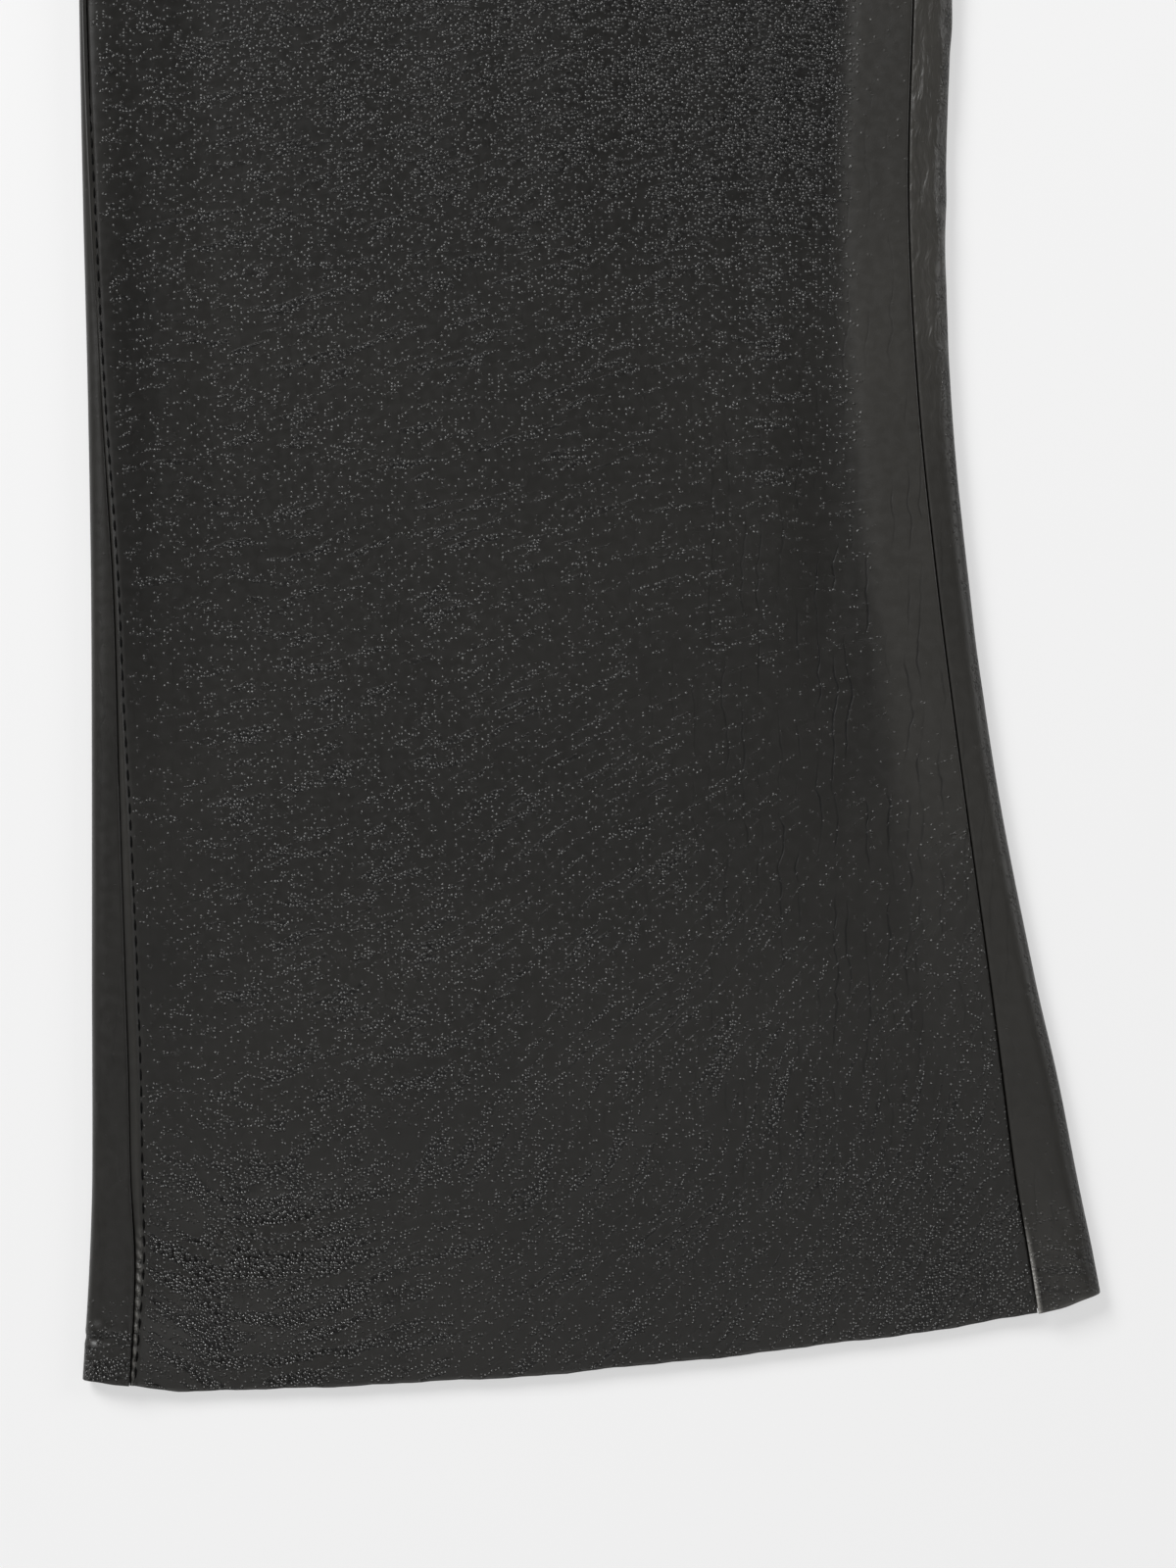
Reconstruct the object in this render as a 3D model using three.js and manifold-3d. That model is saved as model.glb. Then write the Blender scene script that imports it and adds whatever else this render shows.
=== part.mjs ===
// Leather trousers with flared, raw-cut hems, laid flat on their back with the front side up.
// Millimetres. +X points to the wearer's left, +Y from the hems to the waist, +Z up from the surface.
import * as THREE from 'three';
import { mergeVertices } from 'three/addons/utils/BufferGeometryUtils.js';
import Module from 'manifold-3d';

// Leather and seams
const LEATHER = 1.2;
const BAND_LEATHER = 2.0;
const SEAM_GAP = 0.3;
const HALF_GAP = SEAM_GAP / 2;

// Lengths along the body
const HEM_LOW_Y = -520;
const WAIST_SEAM_Y = 472;
const CROTCH_Y = 270;
const CROTCH_BELOW = 14;
const CROTCH_ABOVE = 34;
const FRONT_WAIST_DIP = 10;
const BACK_WAIST_RISE = 8;
const BAND_HEIGHT = 40;

// Heights of the upper surface where the front lies on the back
const PANEL_TOP = 3.7;
const BAND_TOP = 4.6;
const LAP_LIFT = 1.9;
const FOLD_SHAPE = 0.72;
const FOLD_FALL = 26;
const FOLD_CALM = 6;
const CREASE_SHARPNESS = 1.6;

// Seam allowance glued under the front beside the outseam
const ALLOWANCE_WIDTH = 12;
const ALLOWANCE_LIFT = 0.5;
const ALLOWANCE_EDGE = 5;
const ALLOWANCE_END_LOW = -382;
const ALLOWANCE_END_HIGH = -318;

// Fly and tab
const FLY_LAP = 8;
const FLY_END_Y = 296;
const FLY_FULL_Y = 326;
const LAP_SLOPE = 16;
const LAP_FLAT = 2;
const LAP_START_Y = FLY_END_Y - 22;
const TAB_LIFT = BAND_LEATHER + SEAM_GAP + 0.1;
const TAB_REACH = 32;
const UNDERLAP_END = -2;
const BUTTON_RADIUS = 8.5;
const BUTTON_HEIGHT = 2.7;
const BUTTON_RIM = 1.4;
const BUTTON_DISH = 0.8;
const BUTTON_SIDES = 32;
const HOLE_SIDES = 10;
const BUTTON_HOLE_RADIUS = 1.0;
const BUTTON_HOLE_PLACE = 1.9;

// One leg's outline, section by section from the hem to the waist: the inner and outer edges, how far
// the back panel rolls onto the front at each, and how high the two folds stand.
const LEG_SECTIONS = [
  { y: -525, inner: 35.6, outer: 291.0, rollIn: 11.9, rollOut: 17.0, foldIn: 5.6, foldOut: 6.0 },
  { y: -491, inner: 37.7, outer: 284.9, rollIn: 11.5, rollOut: 16.1, foldIn: 5.8, foldOut: 6.0 },
  { y: -467, inner: 38.5, outer: 280.0, rollIn: 9.7, rollOut: 15.2, foldIn: 5.9, foldOut: 6.1 },
  { y: -443, inner: 38.5, outer: 275.3, rollIn: 9.2, rollOut: 13.6, foldIn: 6.0, foldOut: 6.1 },
  { y: -419, inner: 38.4, outer: 269.8, rollIn: 8.5, rollOut: 11.2, foldIn: 6.0, foldOut: 6.2 },
  { y: -371, inner: 38.4, outer: 260.4, rollIn: 7.0, rollOut: 8.4, foldIn: 6.1, foldOut: 6.2 },
  { y: -323, inner: 38.2, outer: 253.7, rollIn: 5.8, rollOut: 7.9, foldIn: 6.1, foldOut: 6.2 },
  { y: -275, inner: 37.4, outer: 249.1, rollIn: 3.4, rollOut: 8.2, foldIn: 6.1, foldOut: 6.2 },
  { y: -227, inner: 36.2, outer: 247.8, rollIn: 1.9, rollOut: 9.2, foldIn: 6.1, foldOut: 6.3 },
  { y: -179, inner: 35.3, outer: 249.4, rollIn: 1.0, rollOut: 9.6, foldIn: 6.1, foldOut: 6.3 },
  { y: -100, inner: 34.3, outer: 251.8, rollIn: 0.8, rollOut: 9.6, foldIn: 6.1, foldOut: 6.3 },
  { y: 0, inner: 31.2, outer: 254.2, rollIn: 0.8, rollOut: 9.4, foldIn: 6.1, foldOut: 6.3 },
  { y: 90, inner: 26.0, outer: 256.4, rollIn: 0.8, rollOut: 9.2, foldIn: 6.0, foldOut: 6.3 },
  { y: 170, inner: 18.0, outer: 257.8, rollIn: 0.8, rollOut: 9.0, foldIn: 5.8, foldOut: 6.3 },
  { y: 228, inner: 8.6, outer: 257.4, rollIn: 0.8, rollOut: 9.0, foldIn: 5.2, foldOut: 6.3 },
  { y: 256, inner: 2.4, outer: 256.0, rollIn: 0.8, rollOut: 9.0, foldIn: 4.6, foldOut: 6.2 },
  { y: 270, inner: 0.15, outer: 254.9, rollIn: 0.8, rollOut: 9.0, foldIn: 4.3, foldOut: 6.2 },
  { y: 300, inner: 0.15, outer: 252.0, rollIn: 0.8, rollOut: 9.0, foldIn: 4.3, foldOut: 6.1 },
  { y: 350, inner: 0.15, outer: 244.8, rollIn: 0.8, rollOut: 9.0, foldIn: 4.3, foldOut: 6.0 },
  { y: 400, inner: 0.15, outer: 233.5, rollIn: 0.8, rollOut: 9.0, foldIn: 4.3, foldOut: 6.0 },
  { y: 440, inner: 0.15, outer: 220.5, rollIn: 0.8, rollOut: 9.0, foldIn: 4.3, foldOut: 6.0 },
  { y: 474, inner: 0.15, outer: 208.5, rollIn: 0.8, rollOut: 9.0, foldIn: 4.3, foldOut: 6.2 },
  { y: 525, inner: 0.15, outer: 197.5, rollIn: 0.8, rollOut: 9.0, foldIn: 4.3, foldOut: 6.2 },
];

// The cut edge at the hem: its height above the lowest point, across the leg from the inner edge.
const HEM_LINE = [
  { across: 0.0, rise: 2.9 },
  { across: 0.046, rise: 1.7 },
  { across: 0.104, rise: 0.1 },
  { across: 0.236, rise: 1.2 },
  { across: 0.42, rise: 3.6 },
  { across: 0.581, rise: 7.4 },
  { across: 0.798, rise: 13.9 },
  { across: 0.94, rise: 19.7 },
  { across: 1.0, rise: 24.2 },
];
const HEM_FADE = 210;
const BACK_HEM_SHORTER = 2.2;
const WAIST_FADE = 150;

// The largest folds of the fronts: middle, direction in degrees from +X, half length, half width and
// height, on the wearer's left leg or the right, whose x is counted towards the right.
const FOLDS = [
  { leg: 1, x: 152, y: -196, turn: 88, half: 120, wide: 22, lift: 0.7 },
  { leg: 1, x: 205, y: -230, turn: 84, half: 110, wide: 20, lift: 0.5 },
  { leg: 1, x: 120, y: -442, turn: 20, half: 90, wide: 30, lift: 0.5 },
  { leg: 1, x: 112, y: -48, turn: 14, half: 74, wide: 18, lift: 1.5 },
  { leg: 1, x: 172, y: -4, turn: -16, half: 66, wide: 17, lift: 1.2 },
  { leg: 1, x: 104, y: 66, turn: 62, half: 96, wide: 22, lift: 1.3 },
  { leg: 1, x: 58, y: 238, turn: 30, half: 62, wide: 15, lift: 1.9 },
  { leg: 1, x: 92, y: 302, turn: 24, half: 84, wide: 18, lift: 1.6 },
  { leg: 1, x: 186, y: 176, turn: 78, half: 96, wide: 24, lift: 1.1 },
  { leg: -1, x: 176, y: -60, turn: -12, half: 72, wide: 18, lift: 1.4 },
  { leg: -1, x: 110, y: -22, turn: 18, half: 60, wide: 16, lift: 1.1 },
  { leg: -1, x: 150, y: -250, turn: 86, half: 130, wide: 24, lift: 0.8 },
  { leg: -1, x: 140, y: -430, turn: 28, half: 84, wide: 26, lift: 0.6 },
  { leg: -1, x: 66, y: 226, turn: 36, half: 66, wide: 16, lift: 1.8 },
  { leg: -1, x: 98, y: 312, turn: 18, half: 74, wide: 17, lift: 1.5 },
  { leg: -1, x: 172, y: 150, turn: 96, half: 104, wide: 23, lift: 1.2 },
];

// Rows along the leg, as stretches of the nominal height, and columns across the panels
const ROW_STRETCHES = [
  { to: -514, rows: 1 },
  { to: -490, rows: 1 },
  { to: -110, rows: 10 },
  { to: 60, rows: 9 },
  { to: 200, rows: 5 },
  { to: 245, rows: 2 },
  { to: 335, rows: 7 },
  { to: WAIST_SEAM_Y, rows: 5 },
];
const EDGE_STEPS_IN = [0, 1.4, 3.2, 6.0, 11.0, 19.0, 32.0];
const EDGE_STEPS_OUT = [0, 3.0, 7.5, 12.0, 15.0, 21.0, 32.0];
const MIDDLE_COLUMNS = 6;
const FLAT_MARGIN = 12;
const INNER_COLUMNS = 7;
const BOTTOM_COLUMNS = 4;
const OUTER_COLUMNS = 7;
const BAND_ROWS = 2;
const BAND_FRONT_COLUMNS = 16;
const BAND_HALF_COLUMNS = 5;
const FOLD_STEPS = 24;
const COLUMN_LENGTH = 14;
const COLUMN_TURN = 0.5;
const SETTLING_ROUNDS = 6;

const smooth = (low, high, value) => THREE.MathUtils.smoothstep(value, low, high);
const mix = THREE.MathUtils.lerp;

// A smooth curve through one column of a table
function through(table, place, column) {
  return (value) => {
    const last = table.length - 1;
    const held = THREE.MathUtils.clamp(value, table[0][place], table[last][place]);
    let i = 0;
    while (i < last - 1 && held > table[i + 1][place]) {
      i += 1;
    }
    const slope = (k) => {
      const before = table[Math.max(k - 1, 0)];
      const after = table[Math.min(k + 1, last)];
      return (after[column] - before[column]) / (after[place] - before[place]);
    };
    const span = table[i + 1][place] - table[i][place];
    const t = (held - table[i][place]) / span;
    const start = table[i][column];
    const end = table[i + 1][column];
    const startPart = (2 * t - 3) * t * t + 1;
    const slopePart = span * t * (1 - t);
    return start * startPart + end * (1 - startPart) + slopePart * (slope(i) * (1 - t) - slope(i + 1) * t);
  };
}

const innerCurve = through(LEG_SECTIONS, 'y', 'inner');
const innerEdge = (y) => Math.max(innerCurve(y), HALF_GAP);
const outerEdge = through(LEG_SECTIONS, 'y', 'outer');
const rollIn = through(LEG_SECTIONS, 'y', 'rollIn');
const rollOut = through(LEG_SECTIONS, 'y', 'rollOut');
const foldInHeight = through(LEG_SECTIONS, 'y', 'foldIn');
const foldOutHeight = through(LEG_SECTIONS, 'y', 'foldOut');
const hemRise = through(HEM_LINE, 'across', 'rise');

// 1 where front and back are joined along the inner leg, 0 above the crotch where they part
const joined = (y) => 1 - smooth(CROTCH_Y - CROTCH_BELOW, CROTCH_Y + CROTCH_ABOVE, y);

// Share of the way across the leg, from its inner edge to its outer one
function acrossLeg(x, y) {
  return THREE.MathUtils.clamp((x - innerEdge(y)) / (outerEdge(y) - innerEdge(y)), 0, 1);
}

// Height of all the large folds of one leg at a place on its front
function foldLift(leg, x, y) {
  let lift = 0;
  for (const fold of FOLDS.filter((row) => row.leg === leg)) {
    const turn = THREE.MathUtils.degToRad(fold.turn);
    const along = (x - fold.x) * Math.cos(turn) + (y - fold.y) * Math.sin(turn);
    const aside = (y - fold.y) * Math.cos(turn) - (x - fold.x) * Math.sin(turn);
    const reach = (along / fold.half) ** 2 + (aside / fold.wide) ** 2;
    lift += fold.lift * Math.exp(-CREASE_SHARPNESS * reach);
  }
  return lift;
}

// Share of the lift that takes the left front and the tab over the right side, across and along the fly
const lapAcross = (x) => 1 - smooth(LAP_FLAT, LAP_SLOPE, x);
const lapLift = (x, y) => LAP_LIFT * lapAcross(x) * smooth(LAP_START_Y, FLY_END_Y, y);

// Height of a front panel's upper surface, counted on the left leg
function frontTop(leg, x, y) {
  const inner = innerEdge(y);
  const outer = outerEdge(y);
  const foldIn = foldInHeight(y);
  const foldOut = foldOutHeight(y);
  const roundIn = FOLD_SHAPE * foldIn;
  const roundOut = FOLD_SHAPE * foldOut;
  const fromIn = x - inner - roundIn;
  const fromOut = outer - roundOut - x;
  const nearIn = joined(y) * (1 - smooth(0, FOLD_FALL, fromIn));
  const nearOut = 1 - smooth(0, FOLD_FALL, fromOut);
  const fromSeam = outer - rollOut(y) - x;
  const aboveEnd = smooth(ALLOWANCE_END_LOW, ALLOWANCE_END_HIGH, y);
  const allowanceWidth = ALLOWANCE_WIDTH * aboveEnd;
  const pastAllowance = smooth(allowanceWidth, allowanceWidth + ALLOWANCE_EDGE, fromSeam);
  const allowance = ALLOWANCE_LIFT * (1 - pastAllowance) * aboveEnd;
  const calm = smooth(0, FOLD_FALL, fromIn + FOLD_CALM * joined(y)) * smooth(0, FOLD_FALL, fromOut);
  let z = PANEL_TOP + (foldIn - PANEL_TOP) * nearIn + (foldOut - PANEL_TOP) * nearOut;
  z += allowance * smooth(0, FOLD_FALL, fromOut) + calm * foldLift(leg, x, y);
  if (fromIn < 0 && joined(y) > 0) {
    const reach = Math.min(-fromIn / roundIn, 1);
    z -= joined(y) * foldIn / 2 * (1 - Math.sqrt(1 - reach ** 2));
  }
  return z;
}

// Real height of a row at a place across the leg, between the hem's line and the waist seam's
function rowHeight(nominal, across, waistShift, shorter) {
  const hem = hemRise(across) + shorter * Math.sin(Math.PI * across);
  const nearHem = 1 - smooth(0, HEM_FADE, nominal - HEM_LOW_Y);
  const nearWaist = smooth(WAIST_SEAM_Y - WAIST_FADE, WAIST_SEAM_Y, nominal);
  return nominal + hem * nearHem + waistShift * (1 - across ** 1.5) * nearWaist;
}

// Nominal heights of all rows
function rowList() {
  const rows = [HEM_LOW_Y];
  for (const stretch of ROW_STRETCHES) {
    const start = rows[rows.length - 1];
    for (let i = 1; i <= stretch.rows; i += 1) {
      rows.push(mix(start, stretch.to, i / stretch.rows));
    }
  }
  return rows;
}

// Columns across a front, from edge to edge, close together beside both edges
function acrossFront(left, right) {
  const middleStart = left + EDGE_STEPS_IN[EDGE_STEPS_IN.length - 1];
  const middleEnd = right - EDGE_STEPS_OUT[EDGE_STEPS_OUT.length - 1];
  const places = EDGE_STEPS_IN.map((step) => left + step);
  for (let i = 1; i < MIDDLE_COLUMNS; i += 1) {
    places.push(mix(middleStart, middleEnd, i / MIDDLE_COLUMNS));
  }
  return places.concat([...EDGE_STEPS_OUT].reverse().map((step) => right - step));
}

// Points at even shares of a path's length and turning
function shareOut(path, columns) {
  const measure = [0];
  for (let i = 1; i < path.length; i += 1) {
    const length = Math.hypot(path[i].x - path[i - 1].x, path[i].z - path[i - 1].z);
    const turn = Math.abs(path[i].turn - path[i - 1].turn);
    measure.push(measure[i - 1] + length / COLUMN_LENGTH + turn / COLUMN_TURN);
  }
  const total = measure[measure.length - 1];
  const shared = [];
  let k = 0;
  for (let i = 0; i <= columns; i += 1) {
    const wanted = total * i / columns;
    while (k < path.length - 2 && measure[k + 1] <= wanted) {
      k += 1;
    }
    const t = (wanted - measure[k]) / (measure[k + 1] - measure[k]);
    shared.push({ x: mix(path[k].x, path[k + 1].x, t), z: mix(path[k].z, path[k + 1].z, t) });
  }
  return shared;
}

// Path of the back panel round one fold, from its seam on the upper side to the flat underside. Edge is
// the fold's outermost x, side is +1 where the panel lies towards +X of it, start is the seam's distance.
function roundFold(edge, side, start, height, open) {
  const across = FOLD_SHAPE * height;
  const half = height / 2;
  const path = [];
  for (let i = 0; i < FOLD_STEPS && start > across; i += 1) {
    const place = mix(start, across, i / FOLD_STEPS);
    path.push({ x: edge + side * place, z: height, turn: 0 });
  }
  const reach = Math.min(start / across, 1);
  const seamTurn = Math.acos(1 - reach);
  const firstTurn = mix(Math.PI / 2 - seamTurn, Math.PI, 1 - open);
  const shift = across * (1 - Math.sin(firstTurn)) * (1 - open);
  for (let i = 0; i <= FOLD_STEPS; i += 1) {
    const turn = mix(firstTurn, Math.PI, i / FOLD_STEPS);
    const x = edge + side * (across * (1 - Math.sin(turn)) - shift);
    path.push({ x, z: half + half * Math.cos(turn), turn });
  }
  const last = path[path.length - 1].x;
  path.push({ x: last + side * FLAT_MARGIN, z: 0, turn: Math.PI });
  return path;
}

// The back panel's whole outer path at one height, from the inner seam to the outer one
function backPath(y) {
  const inward = roundFold(innerEdge(y), 1, rollIn(y) - SEAM_GAP, foldInHeight(y), joined(y));
  const outward = roundFold(outerEdge(y), -1, rollOut(y) - HALF_GAP, foldOutHeight(y), 1);
  const first = shareOut(inward, INNER_COLUMNS);
  const last = shareOut(outward, OUTER_COLUMNS).reverse();
  const from = first[first.length - 1].x;
  const to = last[0].x;
  const bottom = [];
  for (let i = 1; i < BOTTOM_COLUMNS; i += 1) {
    bottom.push({ x: mix(from, to, i / BOTTOM_COLUMNS), z: 0 });
  }
  return first.concat(bottom, last);
}

// A closed wall from rows of outer points, each row a section from edge to edge. The inner side lies
// under the outer one, square to the section. Left and right walls differ in which way they face.
function wall(rows, thickness, facing) {
  const columns = rows[0].length;
  const outer = [];
  const inner = [];
  const heading = (from, to) => Math.atan2(to.z - from.z, to.x - from.x);
  const turned = (from, to) => THREE.MathUtils.euclideanModulo(to - from + Math.PI, 2 * Math.PI) - Math.PI;
  for (const row of rows) {
    const headings = row.slice(1).map((point, i) => heading(row[i], point));
    row.forEach((point, i) => {
      const before = headings[Math.max(i - 1, 0)];
      const after = headings[Math.min(i, columns - 2)];
      let way = before + turned(before, after) / 2;
      if (i === 0) {
        way = before - turned(before, headings[1]) / 2;
      } else if (i === columns - 1) {
        way = after + turned(headings[columns - 3], after) / 2;
      }
      const tangent = new THREE.Vector2(Math.cos(way), Math.sin(way));
      outer.push(point.x, point.y, point.z);
      const across = facing * tangent.y * thickness;
      inner.push(point.x + across, point.y, point.z - facing * tangent.x * thickness);
    });
  }
  const positions = outer.concat(inner);
  const under = rows.length * columns;
  const triangles = [];
  const quad = (a, b, c, d) => {
    if (facing > 0) {
      triangles.push(a, b, c, a, c, d);
    } else {
      triangles.push(a, c, b, a, d, c);
    }
  };
  for (let r = 0; r + 1 < rows.length; r += 1) {
    for (let i = 0; i + 1 < columns; i += 1) {
      const a = r * columns + i;
      quad(a, a + 1, a + columns + 1, a + columns);
      quad(under + a, under + a + columns, under + a + columns + 1, under + a + 1);
    }
    const start = r * columns;
    const end = start + columns - 1;
    quad(start, start + columns, under + start + columns, under + start);
    quad(end, under + end, under + end + columns, end + columns);
  }
  const topRow = (rows.length - 1) * columns;
  for (let i = 0; i + 1 < columns; i += 1) {
    quad(i, under + i, under + i + 1, i + 1);
    quad(topRow + i, topRow + i + 1, under + topRow + i + 1, under + topRow + i);
  }
  const geometry = new THREE.BufferGeometry();
  geometry.setAttribute('position', new THREE.Float32BufferAttribute(positions, 3));
  geometry.setIndex(triangles);
  return geometry;
}

// Where a left or right front starts at the middle, with the fly's lap on the left one
function frontStart(leg, y) {
  const seam = innerEdge(y) + mix(0, rollIn(y) + HALF_GAP, joined(y));
  const lap = smooth(FLY_END_Y, FLY_FULL_Y, y) * (FLY_LAP + HALF_GAP);
  return leg > 0 ? seam - lap : seam;
}

// One front, from the hem to the waist seam
function frontPanel(leg) {
  const count = acrossFront(0, 1).length;
  const rows = rowList().map((nominal) => {
    const row = [];
    for (let i = 0; i < count; i += 1) {
      let y = nominal;
      let x = 0;
      for (let round = 0; round < SETTLING_ROUNDS; round += 1) {
        x = acrossFront(frontStart(leg, y), outerEdge(y) - rollOut(y) - HALF_GAP)[i];
        y = rowHeight(nominal, acrossLeg(x, y), -FRONT_WAIST_DIP, 0);
      }
      const lift = leg > 0 ? lapLift(x, y) : 0;
      row.push({ x: leg * x, y, z: frontTop(leg, x, y) + lift });
    }
    return row;
  });
  return wall(rows, LEATHER, leg);
}

// One back, flat underneath and rolled onto the front at both edges
function backPanel(leg) {
  const count = INNER_COLUMNS + BOTTOM_COLUMNS + OUTER_COLUMNS + 1;
  const rows = rowList().map((nominal) => {
    const row = [];
    for (let i = 0; i < count; i += 1) {
      let y = nominal;
      let point = null;
      for (let round = 0; round < SETTLING_ROUNDS; round += 1) {
        point = backPath(y)[i];
        const under = i >= INNER_COLUMNS && i <= INNER_COLUMNS + BOTTOM_COLUMNS ? BACK_HEM_SHORTER : 0;
        const shift = point.z > foldOutHeight(y) / 2 ? -FRONT_WAIST_DIP : BACK_WAIST_RISE;
        y = rowHeight(nominal, acrossLeg(point.x, y), shift, under);
      }
      row.push({ x: leg * point.x, y, z: point.z });
    }
    return row;
  });
  return wall(rows, LEATHER, -leg);
}

// Waist seam's height where the band meets the panels, at a share of the half waist
const seamHeight = (share, shift) => WAIST_SEAM_Y + shift * (1 - share ** 1.5);

// Half of the front waistband, the left one ending in the tab
function bandFront(leg) {
  const rows = [];
  for (let r = 0; r <= BAND_ROWS; r += 1) {
    const up = SEAM_GAP + r / BAND_ROWS * BAND_HEIGHT;
    const row = [];
    for (let i = 0; i <= BAND_FRONT_COLUMNS; i += 1) {
      const start = leg > 0 ? -TAB_REACH : -UNDERLAP_END;
      const outer = outerEdge(WAIST_SEAM_Y + up);
      const x = mix(start, outer - rollOut(WAIST_SEAM_Y) - HALF_GAP, i / BAND_FRONT_COLUMNS);
      const share = THREE.MathUtils.clamp(x / outer, 0, 1);
      const y = seamHeight(share, -FRONT_WAIST_DIP) + up;
      const foldOut = foldOutHeight(y);
      const nearOut = 1 - smooth(0, FOLD_FALL, outer - FOLD_SHAPE * foldOut - x);
      const lap = leg > 0 ? TAB_LIFT * lapAcross(x) : 0;
      row.push({ x: leg * x, y, z: mix(BAND_TOP, foldOut, nearOut) + lap });
    }
    rows.push(row);
  }
  return wall(rows, BAND_LEATHER, leg);
}

// The back waistband, rolled onto the front at both sides
function bandBack() {
  const rows = [];
  for (let r = 0; r <= BAND_ROWS; r += 1) {
    const up = SEAM_GAP + r / BAND_ROWS * BAND_HEIGHT;
    const outer = outerEdge(WAIST_SEAM_Y + up);
    const height = foldOutHeight(WAIST_SEAM_Y);
    const fold = roundFold(outer, -1, rollOut(WAIST_SEAM_Y) - HALF_GAP, height, 1);
    const leftSide = shareOut(fold, OUTER_COLUMNS);
    const half = [...leftSide].reverse();
    const middle = [];
    for (let i = 1 - BAND_HALF_COLUMNS; i < BAND_HALF_COLUMNS; i += 1) {
      middle.push({ x: half[0].x * i / BAND_HALF_COLUMNS, z: 0 });
    }
    const rightSide = leftSide.map((point) => ({ x: -point.x, z: point.z }));
    rows.push(rightSide.concat(middle, half).map((point) => {
      const share = THREE.MathUtils.clamp(Math.abs(point.x) / outer, 0, 1);
      const shift = point.z > height / 2 ? -FRONT_WAIST_DIP : BACK_WAIST_RISE;
      return { x: point.x, y: seamHeight(share, shift) + up, z: point.z };
    }));
  }
  return wall(rows, BAND_LEATHER, -1);
}

// Solid from a closed geometry, for the button's holes
function toSolid(solids, geometry) {
  geometry.deleteAttribute('normal');
  geometry.deleteAttribute('uv');
  const merged = mergeVertices(geometry, 1e-4);
  const vertProperties = new Float32Array(merged.attributes.position.array);
  const triVerts = new Uint32Array(merged.index.array);
  return new solids.Manifold(new solids.Mesh({ numProp: 3, vertProperties, triVerts }));
}

// A turned button with a raised rim and four sewing holes
async function buttonShape() {
  const solids = await Module();
  solids.setup();
  const rimStart = BUTTON_RADIUS - BUTTON_RIM;
  const profile = [
    new THREE.Vector2(0, 0),
    new THREE.Vector2(BUTTON_RADIUS - BUTTON_RIM, 0),
    new THREE.Vector2(BUTTON_RADIUS, BUTTON_HEIGHT * 0.4),
    new THREE.Vector2(BUTTON_RADIUS - BUTTON_RIM / 4, BUTTON_HEIGHT * 0.85),
    new THREE.Vector2(rimStart, BUTTON_HEIGHT),
    new THREE.Vector2(rimStart - BUTTON_RIM / 2, BUTTON_HEIGHT - BUTTON_DISH),
    new THREE.Vector2(0, BUTTON_HEIGHT - BUTTON_DISH),
  ];
  const disc = new THREE.LatheGeometry(profile, BUTTON_SIDES);
  disc.rotateX(Math.PI / 2);
  let button = toSolid(solids, disc);
  const drillLength = BUTTON_HEIGHT * 3;
  const drill = new THREE.CylinderGeometry(BUTTON_HOLE_RADIUS, BUTTON_HOLE_RADIUS, drillLength, HOLE_SIDES);
  drill.rotateX(Math.PI / 2);
  for (const [right, up] of [[1, 1], [1, -1], [-1, 1], [-1, -1]]) {
    const hole = drill.clone();
    hole.translate(right * BUTTON_HOLE_PLACE, up * BUTTON_HOLE_PLACE, 0);
    button = button.subtract(toSolid(solids, hole));
  }
  const cut = button.getMesh();
  const geometry = new THREE.BufferGeometry();
  geometry.setAttribute('position', new THREE.BufferAttribute(new Float32Array(cut.vertProperties), 3));
  geometry.setIndex(Array.from(cut.triVerts));
  return geometry;
}

const blackLeather = { color: 0x2c2b29, roughness: 0.55, metalness: 0 };
const blackHorn = { color: 0x1b1a19, roughness: 0.35, metalness: 0 };

const trousers = new THREE.Group();

function addPiece(name, geometry, finish) {
  geometry.computeVertexNormals();
  const piece = new THREE.Mesh(geometry, new THREE.MeshStandardMaterial(finish));
  piece.name = name;
  trousers.add(piece);
  return piece;
}

addPiece('back_left', backPanel(1), blackLeather);
addPiece('back_right', backPanel(-1), blackLeather);
addPiece('front_left', frontPanel(1), blackLeather);
addPiece('front_right', frontPanel(-1), blackLeather);
addPiece('waistband_back', bandBack(), blackLeather);
addPiece('waistband_front_left', bandFront(1), blackLeather);
addPiece('waistband_front_right', bandFront(-1), blackLeather);

const button = addPiece('waist_button', await buttonShape(), blackHorn);
const tabMiddleY = WAIST_SEAM_Y - FRONT_WAIST_DIP + BAND_HEIGHT / 2;
button.position.set(-TAB_REACH / 2, tabMiddleY, BAND_TOP + TAB_LIFT + SEAM_GAP);

export default trousers;
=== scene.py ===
import math

import bpy
import numpy as np
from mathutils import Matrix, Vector


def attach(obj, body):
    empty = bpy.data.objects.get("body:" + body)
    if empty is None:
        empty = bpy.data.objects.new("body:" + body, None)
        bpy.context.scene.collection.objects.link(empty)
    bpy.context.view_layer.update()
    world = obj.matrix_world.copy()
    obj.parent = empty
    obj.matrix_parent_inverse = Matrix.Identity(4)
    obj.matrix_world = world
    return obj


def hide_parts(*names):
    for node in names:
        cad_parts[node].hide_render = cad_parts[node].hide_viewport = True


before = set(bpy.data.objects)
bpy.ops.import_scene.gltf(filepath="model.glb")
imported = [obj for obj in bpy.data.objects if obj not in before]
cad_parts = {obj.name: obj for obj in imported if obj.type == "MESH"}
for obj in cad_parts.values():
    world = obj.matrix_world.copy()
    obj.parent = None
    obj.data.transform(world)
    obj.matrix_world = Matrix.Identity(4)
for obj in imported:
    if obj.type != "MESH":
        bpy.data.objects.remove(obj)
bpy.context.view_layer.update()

# Table and studio
# A pale table top, one large soft lamp from the upper left, a weaker one from the upper right, and dim
# air round them. The camera looks straight down on the flared hem of the wearer's left leg.
MM = 0.001
TABLE_SIZE = 14.0
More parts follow.
